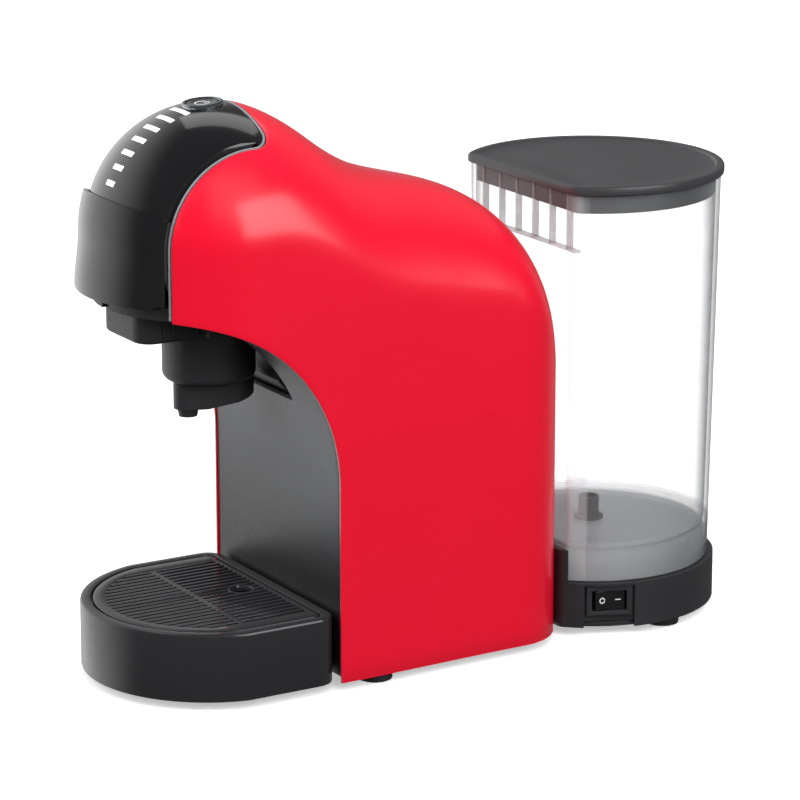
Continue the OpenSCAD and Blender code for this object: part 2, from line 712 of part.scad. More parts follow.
// Wedge under the cup with the nozzle at its front
module spout() color("#222224") translate([0, brew_y, cup_z]) difference() {
  union() {
    intersection() {
      translate([0, 0, -20]) linear_extrude(20) polygon(concat(
        [for (a = [180:20:360]) [5.6 * cos(a), nozzle_y - 1 + 5.6 * sin(a)]],
        [for (a = [0:15:180]) [13 * cos(a), 8 + 13 * sin(a)]]));
      across(40) polygon([[-30, 0], [-30, -12.5], [nozzle_y + 6, -12.5], [cup_r - 2, -7.5], [cup_r, -6], [cup_r, 0]]);
    }
    translate([0, nozzle_y, -16.2]) cylinder(r1 = 4.2, r2 = 5.6, h = 8);
  }
  translate([0, nozzle_y, -20]) cylinder(r = 2, h = 14);
  translate([0, 0, -6]) hull() {
    cylinder(r = 2, h = 3);
    translate([0, nozzle_y, 0]) cylinder(r = 2, h = 3);
  }
  translate([0, 0, -5]) cylinder(r = 3, h = 7);
}

// ---------- Drip tray ----------

tray_back = column_y - 0.8;

module tray_plan(inset) intersection() {
  union() {
    translate([0, brew_y]) circle(r = tray_r - inset, $fn = 128);
    translate([-tray_r + inset, brew_y]) square([2 * (tray_r - inset), tray_back - inset - brew_y]);
  }
  polygon(concat(
    [[-tray_half + inset, brew_y - tray_r], [tray_half - inset, brew_y - tray_r]],
    [for (a = [0:15:90]) [tray_half - 9 + (9 - inset) * cos(a), tray_back - 9 + (9 - inset) * sin(a)]],
    [for (a = [90:15:180]) [-tray_half + 9 + (9 - inset) * cos(a), tray_back - 9 + (9 - inset) * sin(a)]]));
}

module drip_tray() color("#141416") difference() {
  translate([0, 0, base_z]) linear_extrude(tray_top - base_z) tray_plan(0);
  translate([0, 0, base_z + 4.7]) linear_extrude(tray_top) tray_plan(rim_w + 1.3);
  translate([0, 0, tray_top - 2.8]) linear_extrude(10) tray_plan(rim_w);
  translate([-tongue_w / 2 - 1, tongue_end - 1, base_z - 1]) cube([tongue_w + 2, 120, 3.3]);
}

slot_w = 2.3;
slots = 21;
grid_bar = brew_y - 7.8;
slot_back = tray_back - 8.4;
module drip_grid() color("#1a1a1c") difference() {
  translate([0, 0, tray_top - 2.7]) linear_extrude(2.6) tray_plan(rim_w + 1);
  for (k = [0:slots - 1]) {
    x = (k - (slots - 1) / 2) * slot_pitch;
    front = brew_y - sqrt(max(1, pow(tray_r - rim_w - 6.6, 2) - x * x));
    translate([x - slot_w / 2, front, tray_top - 4]) cube([slot_w, grid_bar - 1.2 - front, 6]);
    translate([x - slot_w / 2, grid_bar + 1.2, tray_top - 4]) cube([slot_w, slot_back - grid_bar - 1.2, 6]);
  }
  translate([0, brew_y + 15, tray_top - 4]) cylinder(r = 5, h = 6);
}

// ---------- Water tank ----------

tank_low = dock_top + 0.4;
tank_floor = plinth_z + 2;
draft = 3;
function tank_radius(z) = tank_r - draft * (tank_top - z) / (tank_top - tank_low);
function tank_ring(z, inset) = [for (p = d_outline(tank_radius(z) - inset, tank_chord - inset, 5))
  [p[0], p[1] + tank_y, z]];

module water_tank() color([0.85, 0.92, 0.95, 0.35]) difference() {
  loft([tank_ring(tank_low, 0), tank_ring(tank_top, 0)]);
  loft([tank_ring(tank_floor + tank_wall, tank_wall), tank_ring(tank_top + 1, tank_wall)]);
  loft([tank_ring(tank_low - 1, tank_wall), tank_ring(tank_floor, tank_wall)]);
  translate([0, tank_y, tank_floor - 1]) cylinder(r = 5, h = 5);
}

module valve_housing() color("#1b1b1d") translate([0, tank_y, 0]) difference() {
  union() {
    translate([0, 0, plinth_z - 3.6]) cylinder(r = 4.95, h = tank_floor + tank_wall + 11 - plinth_z + 3.6);
    translate([0, 0, tank_floor + tank_wall]) cylinder(r = 7, h = 1.6);
  }
  translate([0, 0, plinth_z - 5]) cylinder(r = 2.4, h = 40);
  translate([0, 0, tank_floor + tank_wall + 2]) cylinder(r = 3.8, h = 20);
}

module valve_stem() color("#e8e8e2") translate([0, tank_y, 0]) {
  translate([0, 0, plinth_z + 0.5]) cylinder(r = 1.9, h = tank_floor + tank_wall + 2.7 - plinth_z);
  translate([0, 0, tank_floor + tank_wall + 3.1]) cylinder(r = 3.3, h = 2);
}

module valve_seal() color("#c8452f") translate([0, tank_y, tank_floor + tank_wall + 2.1]) difference() {
  cylinder(r = 3.6, h = 1);
  translate([0, 0, -1]) cylinder(r = 2.3, h = 3);
}

lid_chord = tank_chord + 1.3;
module tank_lid() color("#161618") difference() {
  union() {
    d_plate(lid_r, lid_chord, 5, tank_top, tank_top + 4.2);
    d_plate(tank_r - tank_wall - 0.5, tank_chord - tank_wall - 0.5, 4, tank_top - 9, tank_top + 1);
  }
  d_plate(lid_r - 2.6, lid_chord - 2.6, 4, tank_top + 2.2, tank_top + 8);
  d_plate(tank_r - tank_wall - 2.3, tank_chord - tank_wall - 2.3, 4, tank_top - 10, tank_top - 0.2);
}

base_plate();
front_column();
body_hood();
head_trim();
control_panel();
led_windows();
led_board();
button_ring();
power_button();
head_chin();
holder_bracket();
brew_frame();
thermoblock();
thermostat();
pump();
pump_mounts();
flow_meter();
relief_valve();
inlet_hose();
pressure_hose();
brew_hose();
control_board();
tank_dock();
dock_socket();
dock_seal();
switch_bezel();
rocker();
feet();
screws();
cord_bush();
lever_cover();
lever_arms();
lever_pins();
brew_piston();
piston_seal();
piercing_needle();
piston_crossbar();
holder_cup();
holder_grip();
holder_sieve();
spout();
drip_tray();
drip_grid();
water_tank();
valve_housing();
valve_stem();
valve_seal();
tank_lid();
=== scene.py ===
import bmesh
import bpy
import json
import math
from mathutils import Matrix, Vector


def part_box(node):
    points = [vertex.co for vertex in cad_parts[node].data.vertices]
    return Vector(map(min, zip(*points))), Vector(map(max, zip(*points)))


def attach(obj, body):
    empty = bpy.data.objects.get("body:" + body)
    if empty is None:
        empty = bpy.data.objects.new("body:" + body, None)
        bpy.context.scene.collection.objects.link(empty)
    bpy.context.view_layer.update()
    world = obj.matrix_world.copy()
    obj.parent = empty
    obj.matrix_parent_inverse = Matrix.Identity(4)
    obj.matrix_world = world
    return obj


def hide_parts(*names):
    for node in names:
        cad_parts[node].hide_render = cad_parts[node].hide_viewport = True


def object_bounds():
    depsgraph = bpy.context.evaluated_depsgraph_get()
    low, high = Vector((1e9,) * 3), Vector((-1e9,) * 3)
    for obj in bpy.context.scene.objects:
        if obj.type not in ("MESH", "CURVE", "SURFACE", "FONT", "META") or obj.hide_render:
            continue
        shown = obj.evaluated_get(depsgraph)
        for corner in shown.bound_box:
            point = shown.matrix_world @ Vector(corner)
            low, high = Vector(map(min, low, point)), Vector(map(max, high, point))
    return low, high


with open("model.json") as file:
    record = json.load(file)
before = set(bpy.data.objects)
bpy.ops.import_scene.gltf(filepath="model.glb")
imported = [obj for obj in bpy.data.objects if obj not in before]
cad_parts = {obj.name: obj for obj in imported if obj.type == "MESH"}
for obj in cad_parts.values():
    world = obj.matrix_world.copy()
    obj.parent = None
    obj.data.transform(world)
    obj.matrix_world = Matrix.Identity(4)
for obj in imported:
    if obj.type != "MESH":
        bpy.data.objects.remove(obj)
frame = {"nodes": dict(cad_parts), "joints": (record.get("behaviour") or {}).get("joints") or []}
cad_low, cad_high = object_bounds()
nodes = frame["nodes"]
mm = 0.001

# ---------- Counter, light and camera ----------
# A pale counter that glows a little to stay white and doesn't show in the gloss, under soft
# light. The fills don't show in the lacquer either, one soft box gives the pale patch on the
# shoulder, and the left side of the room is bright.
aim = (cad_low + cad_high) / 2 + Vector((6.1, -7.3, -16.6)) * mm
camera_azimuth, camera_elevation, camera_distance = 59.25, 15.09, 1.7609


def toward(azimuth, elevation, distance):
    """A spot seen from the aim point at an azimuth from the front and an elevation, in degrees."""
    a, e = math.radians(azimuth), math.radians(elevation)
    return aim + distance * Vector((math.sin(a) * math.cos(e), -math.cos(a) * math.cos(e), math.sin(e)))


def face(thing, spot):
    """Puts a lamp or the camera at a spot and turns it to the aim point."""
    thing.location = spot
    thing.rotation_mode = "QUATERNION"
    thing.rotation_quaternion = (aim - spot).to_track_quat("-Z", "Y")
    bpy.context.collection.objects.link(thing)


def soft_box(name, azimuth, elevation, distance, width, height, watts, in_gloss=True):
    """Rectangular lamp. With in_gloss off it lights the machine but doesn't show in its gloss."""
    lamp = bpy.data.lights.new(name, "AREA")
    lamp.shape = "RECTANGLE"
    lamp.size, lamp.size_y = width, height
    lamp.energy = watts
    box = bpy.data.objects.new(name, lamp)
    box.visible_glossy = in_gloss
    face(box, toward(azimuth, elevation, distance))


soft_box("shoulder_box", 105, 22, 1.6, 1.3, 0.9, 13)
soft_box("right_fill", 78, 42, 1.25, 0.9, 0.9, 10, in_gloss=False)
soft_box("front_fill", 0, 32, 2.4, 2.0, 2.0, 40, in_gloss=False)
soft_box("overhead", 0, 88, 1.8, 2.4, 2.4, 10, in_gloss=False)
soft_box("lid_box", -121, 55, 1.8, 1.2, 0.7, 3)
soft_box("back_fill", 200, 30, 2.4, 2.0, 2.0, 26, in_gloss=False)

world = bpy.data.worlds.new("studio")
bpy.context.scene.world = world
world.use_nodes = True
sky = world.node_tree
bright_side = Vector((-0.92, -0.4, 0.0)).normalized()
direction = sky.nodes.new("ShaderNodeTexCoord")
side_of = sky.nodes.new("ShaderNodeVectorMath")
side_of.operation = "DOT_PRODUCT"
side_of.inputs[1].default_value = bright_side
fade = sky.nodes.new("ShaderNodeMapRange")
fade.interpolation_type = "SMOOTHSTEP"
for socket, value in (("From Min", 0.45), ("From Max", 0.99), ("To Min", 0.14), ("To Max", 1.15)):
    fade.inputs[socket].default_value = value
sky.links.new(direction.outputs["Generated"], side_of.inputs[0])
sky.links.new(side_of.outputs["Value"], fade.inputs["Value"])
sky.links.new(fade.outputs["Result"], sky.nodes["Background"].inputs["Strength"])
sky.nodes["Background"].inputs["Color"].default_value = (1, 1, 1, 1)

floor_mesh = bpy.data.meshes.new("counter")
floor_reach = 6
floor_mesh.from_pydata(
    [(x * floor_reach, y * floor_reach, 0) for x, y in ((-1, -1), (1, -1), (1, 1), (-1, 1))],
    [], [(0, 1, 2, 3)])
floor = bpy.data.objects.new("counter", floor_mesh)
bpy.context.collection.objects.link(floor)
floor.visible_glossy = floor.visible_diffuse = False
paint = bpy.data.materials.new("counter_white")
paint.use_nodes = True
for socket, value in (("Base Color", (0.9, 0.9, 0.9, 1)), ("Roughness", 0.8),
                      ("Emission Color", (1, 1, 1, 1)), ("Emission Strength", 0.45)):
    paint.node_tree.nodes["Principled BSDF"].inputs[socket].default_value = value
floor_mesh.materials.append(paint)

lens = bpy.data.cameras.new("camera")
lens.lens, lens.sensor_width = 172.26, 36
lens.clip_start, lens.clip_end = 0.05, 30
camera = bpy.data.objects.new("camera", lens)
face(camera, toward(camera_azimuth, camera_elevation, camera_distance))
bpy.context.scene.camera = camera
bpy.context.scene.view_settings.view_transform = "Standard"

# ---------- Hood ----------
# One injection-moulded ABS shell with a clear gloss lacquer over red: both sides, the top
# and the back in one piece, cut by a round arch in front of the column.
pivot = Vector(next(j for j in frame["joints"] if j["name"] == "lever_swing")["pos_m"])
hood_low, hood_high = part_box("body_hood")
half_w = hood_high.x
rear_y = hood_high.y
base_z = hood_low.z
head_r = hood_high.z - pivot.z
cover_rear = 3.1 * mm
column_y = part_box("front_column")[1].y - cover_rear
arch_r = 79.3 * mm
head_gap = 0.3 * mm
arch = Vector((0, column_y - arch_r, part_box("head_chin")[0].z + head_gap - arch_r))
opening = 39.9 * mm
panel_back = corner_r = 9 * mm
rear_r = 28 * mm
hood_wall = 1.1 * mm
tail, tail_drop, tail_power = 63 * mm, 149 * mm, 3.2
side_taper, taper_length = 2.5 * mm, 99 * mm
shoulder_mid, shoulder_rear, shoulder_length = 52 * mm, 40 * mm, 110 * mm
rear_power, power_length = 2.2, 90 * mm
# Knots of the top line: distance behind the pivot, drop below the nose, slope.
TOP = ((0, 0, 0), (40 * mm, 17.2 * mm, -0.78), (70 * mm, 35.1 * mm, -0.38), (100 * mm, 43.8 * mm, -0.27))


def mix(a, b, t):
    return a + (b - a) * t


def smooth(t):
    t = max(0.0, min(1.0, t))
    return t * t * (3 - 2 * t)


def root(v):
    return math.sqrt(max(0.0, v))


def crown(x, inset=0.0):
    """Radius of the nose about the lever axis, at a distance x from the middle."""
    return (head_r - inset) * root(1 - (x / (half_w - inset)) ** 2)


def top_line(d):
    """Drop of the top line at a distance d behind the pivot."""
    for (d0, z0, s0), (d1, z1, s1) in zip(TOP, TOP[1:]):
        if d <= d1:
            t = (d - d0) / (d1 - d0)
            a, b = t * t, t * t * t
            slopes = (b - 2 * a + t) * s0 + (b - a) * s1
            return slopes * (d1 - d0) - (2 * b - 3 * a + 1) * z0 - (3 * a - 2 * b) * z1
    return -TOP[-1][1] + (d - TOP[-1][0]) * TOP[-1][2]


def top(y):
    """Height of the hood over its middle."""
    d, d1 = y - pivot.y, rear_y - tail - pivot.y
    high = hood_high.z + top_line(d)
    if d <= d1:
        return high
    low = hood_high.z - tail_drop
    return low + (high - low) * max(0, 1 - ((d - d1) / tail) ** tail_power) ** (1 / tail_power)


def side(y):
    """Half width of the hood behind the pivot."""
    w = half_w - side_taper * smooth((y - column_y) / taper_length)
    back = max(0, y - rear_y + rear_r)
    return w - rear_r + root(rear_r ** 2 - back * back)


def hood_section(y, a):
    """Point of the hood's cross-section behind the pivot, at an angle a above the flank."""
    fall = smooth((y - rear_y + tail) / tail)
    behind = y - pivot.y
    shoulder = mix(mix(head_r, shoulder_mid, smooth(behind / shoulder_length)), shoulder_rear, fall)
    power = 2 / mix(2, rear_power, smooth(behind / power_length))
    return Vector((side(y) * math.cos(a) ** power, y, top(y) - shoulder + shoulder * math.sin(a) ** power))


def arch_low(y):
    """Height of the arch's edge."""
    return arch.z + root(arch_r ** 2 - (y - arch.y) ** 2)


def skin(name, rows, wrap=False, caps=False, inside=None, crease=40):
    """Mesh through rows of points: wrap joins each row's ends, caps fills the first and last row."""
    points = [p for row in rows for p in row]
    n = len(rows[0])
    quads = [(i * n + j, i * n + (j + 1) % n, (i + 1) * n + (j + 1) % n, (i + 1) * n + j)
             for i in range(len(rows) - 1) for j in range(n if wrap else n - 1)]
    if caps:
        quads += [tuple(range(n)), tuple(range(len(points) - n, len(points)))]
    mesh = bpy.data.meshes.new(name)
    mesh.from_pydata(points, [], quads)
    return settle(name, mesh, inside, crease)


def settle(name, mesh, inside=None, crease=40):
    """Welds a mesh, turns its faces outward, shades it smooth up to a crease angle and shows it."""
    bm = bmesh.new()
    bm.from_mesh(mesh)
    bmesh.ops.remove_doubles(bm, verts=bm.verts, dist=2e-6)
    bmesh.ops.dissolve_degenerate(bm, edges=bm.edges, dist=1e-6)
    bmesh.ops.recalc_face_normals(bm, faces=bm.faces)
    if inside is not None:
        turned = sum(f.normal.dot(f.calc_center_median() - inside) * f.calc_area() for f in bm.faces)
        if turned < 0:
            bmesh.ops.reverse_faces(bm, faces=bm.faces)
    bm.to_mesh(mesh)
    bm.free()
    mesh.shade_smooth()
    mesh.set_sharp_from_angle(angle=math.radians(crease))
    piece = bpy.data.objects.new(name, mesh)
    bpy.context.collection.objects.link(piece)
    return piece


def join_meshes(name, parts):
    """One mesh made of several."""
    bm = bmesh.new()
    for part in parts:
        bm.from_mesh(part)
    mesh = bpy.data.meshes.new(name)
    bm.to_mesh(mesh)
    bm.free()
    return mesh


def rows_mesh(rows, mirror=False):
    """Open patch through rows of points, or its mirror image on the left side."""
    n = len(rows[0])
    mesh = bpy.data.meshes.new("rows")
    mesh.from_pydata(
        [(-p[0], p[1], p[2]) if mirror else tuple(p) for row in rows for p in row], [],
        [(i * n + j, i * n + j + 1, (i + 1) * n + j + 1, (i + 1) * n + j)
         for i in range(len(rows) - 1) for j in range(n - 1)])
    return mesh


def thicken(piece, wall):
    """Gives a skin its wall, inwards from its outer face."""
    shell = piece.modifiers.new("wall", "SOLIDIFY")
    shell.thickness = wall
    shell.offset = -1


def round_edges(piece, width, segments=2, angle=38):
    """Rounds the edges that are sharper than an angle."""
    edge = piece.modifiers.new("edges", "BEVEL")
    edge.width = width
    edge.segments = segments
    edge.limit_method = "ANGLE"
    edge.angle_limit = math.radians(angle)
    edge.miter_outer = "MITER_ARC"
    edge.harden_normals = False


class Value:
    """One output in a node tree. Arithmetic on it adds Math nodes."""

    def __init__(self, tree, socket):
        self.tree, self.socket = tree, socket

    def maths(self, operation, a, b):
        return self.tree.node("ShaderNodeMath", {"operation": operation}, {0: a, 1: b})

    def __add__(self, other):
        return self.maths("ADD", self, other)

    def __sub__(self, other):
        return self.maths("SUBTRACT", self, other)

    def __rsub__(self, other):
        return self.maths("SUBTRACT", other, self)

    def __mul__(self, other):
        return self.maths("MULTIPLY", self, other)

    def __truediv__(self, other):
        return self.maths("DIVIDE", self, other)

    def __pow__(self, other):
        return self.maths("POWER", self, other)

    __radd__ = __add__
    __rmul__ = __mul__


class Nodes:
    """A node tree. node() adds a node: its settings first, then the values or links of its sockets."""

    def __init__(self, tree):
        self.tree = tree

    def join(self, socket, value):
        if isinstance(value, Value):
            self.tree.links.new(value.socket, socket)
        else:
            socket.default_value = value

    def node(self, kind, settings, inputs, output=0):
        node = self.tree.nodes.new(kind)
        for name, value in settings.items():
            setattr(node, name, value)
        for name, value in inputs.items():
            for one in value if isinstance(value, list) else [value]:
                self.join(node.inputs[name], one)
        return Value(self, node.outputs[output])

    def component(self, vector, k):
        """X, Y or Z of a vector, for k of 0, 1 or 2."""
        return self.node("ShaderNodeSeparateXYZ", {}, {0: vector}, k)


class Finish(Nodes):
    """A material: fixed numbers go straight on its shader."""

    def __init__(self, name, **fixed):
        self.material = bpy.data.materials.new(name)
        self.material.use_nodes = True
        super().__init__(self.material.node_tree)
        self.shader = self.tree.nodes["Principled BSDF"]
        self.set(**fixed)
        self.place = self.node("ShaderNodeTexCoord", {}, {}, "Object")

    def set(self, **sockets):
        for name, value in sockets.items():
            self.join(self.shader.inputs[name.replace("_", " ")], value)

    def noise(self, size, detail=2.0):
        """Noise from 0 to 1 whose features are about size across."""
        return self.node("ShaderNodeTexNoise", {}, {
            "Vector": self.place, "Scale": 1 / size, "Detail": detail})

    def ramp(self, value, low, high, to_low, to_high):
        return self.node("ShaderNodeMapRange", {"interpolation_type": "SMOOTHSTEP"}, {
            "Value": value, "From Min": low, "From Max": high, "To Min": to_low, "To Max": to_high})

    def grain(self, size, low, high, detail=2.0):
        """Noise spread over the range from low to high."""
        return self.ramp(self.noise(size, detail), 0.3, 0.7, low, high)

    def tint(self, factor, one, other):
        return self.node("ShaderNodeMix", {"data_type": "RGBA"}, {0: factor, 6: one, 7: other}, 2)

    def bump(self, height, depth, strength=1.0):
        self.set(Normal=self.node("ShaderNodeBump", {}, {
            "Height": height, "Distance": depth, "Strength": strength}))


def srgb(*screen):
    """Linear colour of 8-bit screen values."""
    return tuple(v / 255 / 12.92 if v < 10.3 else ((v / 255 + 0.055) / 1.055) ** 2.4 for v in screen) + (1.0,)


def moulded(name, one, other, cloud, grain, matt, details=(2.0, 2.0), **fixed):
    """Finish that drifts between two colours over cloud, and in roughness over grain."""
    finish = Finish(name, **fixed)
    finish.set(Base_Color=finish.tint(finish.noise(cloud, details[0]), srgb(*one), srgb(*other)),
               Roughness=finish.grain(grain, *matt, details[1]))
    return finish


def dress(piece, finish, body, slot, *stands_for):
    """Gives a new piece its material, its body and the CAD nodes that it stands for. slot is not used."""
    piece.data.materials.clear()
    piece.data.materials.append(finish.material)
    if stands_for:
        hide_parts(*stands_for)
    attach(piece, body)


red_lacquer = moulded("red_lacquer", (226, 2, 38), (232, 5, 45), 0.06, 0.06, (0.28, 0.31), (3, 3),
                      Coat_Weight=0.6, Coat_Roughness=0.17, IOR=1.42)
red_lacquer.bump(red_lacquer.noise(0.0022, 1), 0.000004)

# Angles of the lengthwise lines of the section: the flank up to the opening, its round
# corner, and the top over the middle.
edge_angle = math.acos(opening / half_w)
flank_lines = [edge_angle * k / 22 for k in range(23)]
corner_lines = [math.acos((opening - corner_r + corner_r * math.cos(math.radians(b))) / half_w)
                for b in range(10, 91, 10)]
crown_lines = [mix(corner_lines[-1], math.pi / 2, k / 18) for k in range(1, 19)]
top_lines = [edge_angle] + corner_lines + crown_lines


def nose_rows():
    """Flank of the nose: below the pivot it drops straight to the arch, above it is an ellipsoid."""
    rows = []
    for a in flank_lines:
        x = half_w * math.cos(a)
        c = crown(x)
        y = pivot.y - c
        low = arch_low(y)
        row = [Vector((x, y, mix(low, pivot.z, k / 12))) for k in range(12)]
        row += [Vector((x, pivot.y - c * math.cos(t), pivot.z + c * math.sin(t)))
                for t in (math.pi / 2 * k / 30 for k in range(31))]
        rows.append(row)
    return rows


arch_start = math.asin((pivot.y - arch.y) / arch_r)
arch_stations = [arch.y + arch_r * math.sin(mix(arch_start, math.pi / 2, k / 20)) for k in range(21)]
body_stations = [mix(column_y, rear_y - rear_r, k / 46) for k in range(1, 47)]
rear_stations = [rear_y - rear_r + rear_r * math.sin(math.radians(b)) for b in range(6, 91, 6)]
stations = arch_stations + body_stations + rear_stations


def flank_rows():
    """Upper flank behind the pivot, from the arch or its height up to the edge of the top."""
    rows = []
    for y in stations:
        low = arch_low(y) if y < column_y else arch.z
        foot = hood_section(y, 0)
        row = [Vector((foot.x, y, mix(low, foot.z, k / 12))) for k in range(12)]
        rows.append(row + [hood_section(y, a) for a in flank_lines])
    return rows


def top_rows():
    """Top behind the panel: its first row follows the round corner of the opening."""
    blend_end = arch_stations[14]
    rows = []
    for y in stations:
        row = []
        for a in top_lines:
            x = half_w * math.cos(a)
            round_off = root(corner_r ** 2 - max(0, x - opening + corner_r) ** 2)
            edge = pivot.y + panel_back - corner_r + round_off
            share = (y - pivot.y) / (blend_end - pivot.y)
            row.append(hood_section(mix(edge, blend_end, share) if y < blend_end else y, a))
        rows.append(row)
    return rows


def skirt_rows():
    """Lower flank behind the column, from the base up to the height of the arch."""
    return [[Vector((side(y), y, mix(base_z, arch.z, k / 12))) for k in range(13)]
            for y in stations if y >= column_y - 1e-9]


def back_rows():
    """Flat back between the rear corners, drawn in towards the middle."""
    outline = [Vector((side(rear_y), rear_y, mix(base_z, arch.z, k / 12))) for k in range(13)]
    foot = hood_section(rear_y, 0)
    outline += [Vector((foot.x, rear_y, mix(arch.z, foot.z, k / 12))) for k in range(1, 12)]
    outline += [hood_section(rear_y, a) for a in flank_lines + top_lines[1:]]
    return [[Vector((p.x * (1 - k / 6), p.y, p.z)) for p in outline] for k in range(7)]


patches = [make() for make in (nose_rows, flank_rows, top_rows, skirt_rows, back_rows)]
hood = settle("hood_shell", join_meshes("hood_shell", [
    rows_mesh(rows, mirror) for rows in patches for mirror in (False, True)]),
    inside=Vector((0, (pivot.y + rear_y) / 2, 0.12)), crease=50)
thicken(hood, hood_wall)
round_edges(hood, 0.35 * mm, angle=60)
dress(hood, red_lacquer, "housing", "red_shell", "body_hood")

# ---------- Column ----------
# Satin charcoal ABS cover behind the cup space, clipped in from the front. It stands upright
# and curls forward under the head, with a notch for the pod guide. Its colour is painted darker
# towards the tray: painted shade for the shade and dark reflections of the tray and cup.
cover_edge = 1.25 * mm
recess = 0.6 * mm
curl = 36 * mm
cover_foot = base_z + 2.5 * mm
notch_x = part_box("holder_bracket")[1].x + 0.3 * mm
notch_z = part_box("holder_bracket")[0].z - 0.4 * mm


def nose_width(t, inset=0.0):
    """Half width of the nose seen from above, at a distance t in front of the pivot."""
    return (half_w - inset) * root(1 - (t / (head_r - inset)) ** 2)


def plan_width(y, inset):
    """Half width of the machine at a distance along it, seen from above."""
    return nose_width(pivot.y - y, inset) if y < pivot.y else side(y) - inset


def column_rows(inner):
    """Rows down the column, from a share of the half width out to its edge."""
    turn_start = math.asin((pivot.y - curl - arch.y) / arch_r)
    spots = [(arch.y + (arch_r + recess) * math.sin(t), arch.z + (arch_r + recess) * math.cos(t))
             for t in (mix(turn_start, math.pi / 2, k / 40) for k in range(41))]
    spots += [(column_y + recess, mix(arch.z, cover_foot, k / 8)) for k in range(1, 9)]
    rows = []
    for y, z in spots:
        w = plan_width(y, cover_edge)
        if inner:
            if z <= notch_z + 1 * mm:
                rows.append([Vector((notch_x * (2 * k / 12 - 1), y, min(z, notch_z))) for k in range(13)])
        else:
            rows.append([Vector((mix(notch_x, w, k / 8), y, z)) for k in range(9)])
    return rows


column_parts = [rows_mesh(column_rows(False), mirror) for mirror in (False, True)]
column_parts.append(rows_mesh(column_rows(True)))
column = settle("column_cover", join_meshes("column_cover", column_parts),
                inside=Vector((0, column_y + 40 * mm, arch.z + 70 * mm)), crease=30)
thicken(column, 2.4 * mm)
round_edges(column, 0.3 * mm, angle=60)
charcoal = Finish("charcoal_satin", IOR=1.5)
# Painted shade: the base colour runs from near black low down to grey higher up, standing in for the shade
# and reflections of the tray and cup. The noise adds random tone.
rise = charcoal.ramp(charcoal.component(charcoal.place, 2), 40 * mm, 140 * mm, 0.0, 0.9)
rise += charcoal.noise(0.03) * 0.1
charcoal.set(Base_Color=charcoal.tint(rise, srgb(14, 14, 15), srgb(98, 100, 103)),
             Roughness=charcoal.grain(0.002, 0.33, 0.4, 3))
charcoal.bump(charcoal.noise(0.0006, 2), 0.00001)
dress(column, charcoal, "housing", "column_grey", "front_column")

# ---------- Trim line ----------
# Light satin strip moulded along the edge of the opening. It frames the panel and the lever,
# from the bottom of one side over the top to the bottom of the other.
trim_gap, trim_width, trim_depth = 0.35 * mm, 1.1 * mm, 3.0 * mm
trim_sunk, chamfer_w, chamfer_d = 0.2 * mm, 0.25 * mm, 0.3 * mm


def nose_spot(x, v, inset=0.0):
    """Point of the nose above a distance v behind the pivot, and the outward direction there."""
    c = crown(x, inset)
    z = root(c * c - v * v)
    wide, deep = (half_w - inset) ** 2, (head_r - inset) ** 2
    return pivot + Vector((x, v, z)), Vector((x / wide, v / deep, z / deep)).normalized()


def trim_path():
    """Spots on the right half of the opening's edge, with outward and inward directions."""
    x = opening - trim_gap
    c = crown(x)
    path = []
    for k in range(12):
        z = mix(arch_low(pivot.y - c) + 1.2 * mm, pivot.z, k / 12)
        out = Vector((x / half_w ** 2, -c / head_r ** 2, 0)).normalized()
        path.append((Vector((x, pivot.y - c, z)), out, Vector((-1, 0, 0))))
    for k in range(41):
        spot, out = nose_spot(x, -c * math.cos(math.pi / 2 * k / 40))
        path.append((spot, out, Vector((-1, 0, 0))))
    r = corner_r - trim_gap
    for b in range(10, 91, 10):
        t = math.radians(b)
        spot, out = nose_spot(x - r + r * math.cos(t), panel_back - corner_r + r * math.sin(t))
        path.append((spot, out, Vector((-math.cos(t), -math.sin(t), 0))))
    for k in range(1, 11):
        spot, out = nose_spot(mix(x - r, 0, k / 10), panel_back - trim_gap)
        path.append((spot, out, Vector((0, -1, 0))))
    return path


def strip_ring(spot, out, inward):
    """Section of the trim at a spot: a bar with two small chamfers, sunk under the hood's face."""
    along = out.cross(inward).normalized()
    inward = along.cross(out).normalized()
    section = ((0, -trim_depth), (0, -trim_sunk - chamfer_d), (chamfer_w, -trim_sunk),
               (trim_width - chamfer_w, -trim_sunk), (trim_width, -trim_sunk - chamfer_d),
               (trim_width, -trim_depth))
    return [spot + inward * a + out * b for a, b in section]


half_path = trim_path()
flip = Matrix.Diagonal((-1, 1, 1))
full_path = half_path + [(flip @ p, flip @ o, flip @ i) for p, o, i in reversed(half_path[:-1])]
trim = skin("trim_line", [strip_ring(*spot) for spot in full_path], wrap=True, caps=True, crease=30)
satin_grey = moulded("satin_grey", (140, 143, 148), (160, 163, 168), 0.02, 0.003, (0.26, 0.34), Metallic=0.35)
dress(trim, satin_grey, "housing", "trim_grey", "head_trim")

# ---------- Panel ----------
# Polished black ABS cover snapped into the opening. It follows the nose, has a round hole
# for the button, and a slot along each side that the lever's arms swing in.
panel_inset = 0.5 * mm
panel_gap = 1.6 * mm
panel_half = opening - panel_gap
slot_half = 35.8 * mm
slot_back = 2.4 * mm
panel_low = math.radians(12)
button_lean = math.radians(4.8)
button_axis = Vector((0, -math.sin(button_lean), math.cos(button_lean)))
hole_r = 8.9 * mm


def panel_rows():
    """Rows across the panel: each runs from behind the lever over the nose to the rear edge."""
    r = corner_r - panel_gap
    straight = [slot_half * k / 30 for k in range(31)]
    half = straight + [mix(slot_half, panel_half, k / 5) for k in range(1, 6)]
    rows = []
    for x in [-v for v in reversed(half[1:])] + half:
        c = crown(x, panel_inset)
        rear = panel_back - panel_gap - r + root(r * r - max(0, abs(x) - panel_half + r) ** 2)
        end = math.pi / 2 + math.asin(min(1, rear / c))
        start = panel_low
        if abs(x) > slot_half + 1e-6:
            start = math.pi / 2 + math.asin(slot_back / c)
        rows.append([pivot + Vector((x, -c * math.cos(t), c * math.sin(t)))
                     for t in (mix(start, max(end, start + 1e-4), k / 84) for k in range(85))])
    return rows


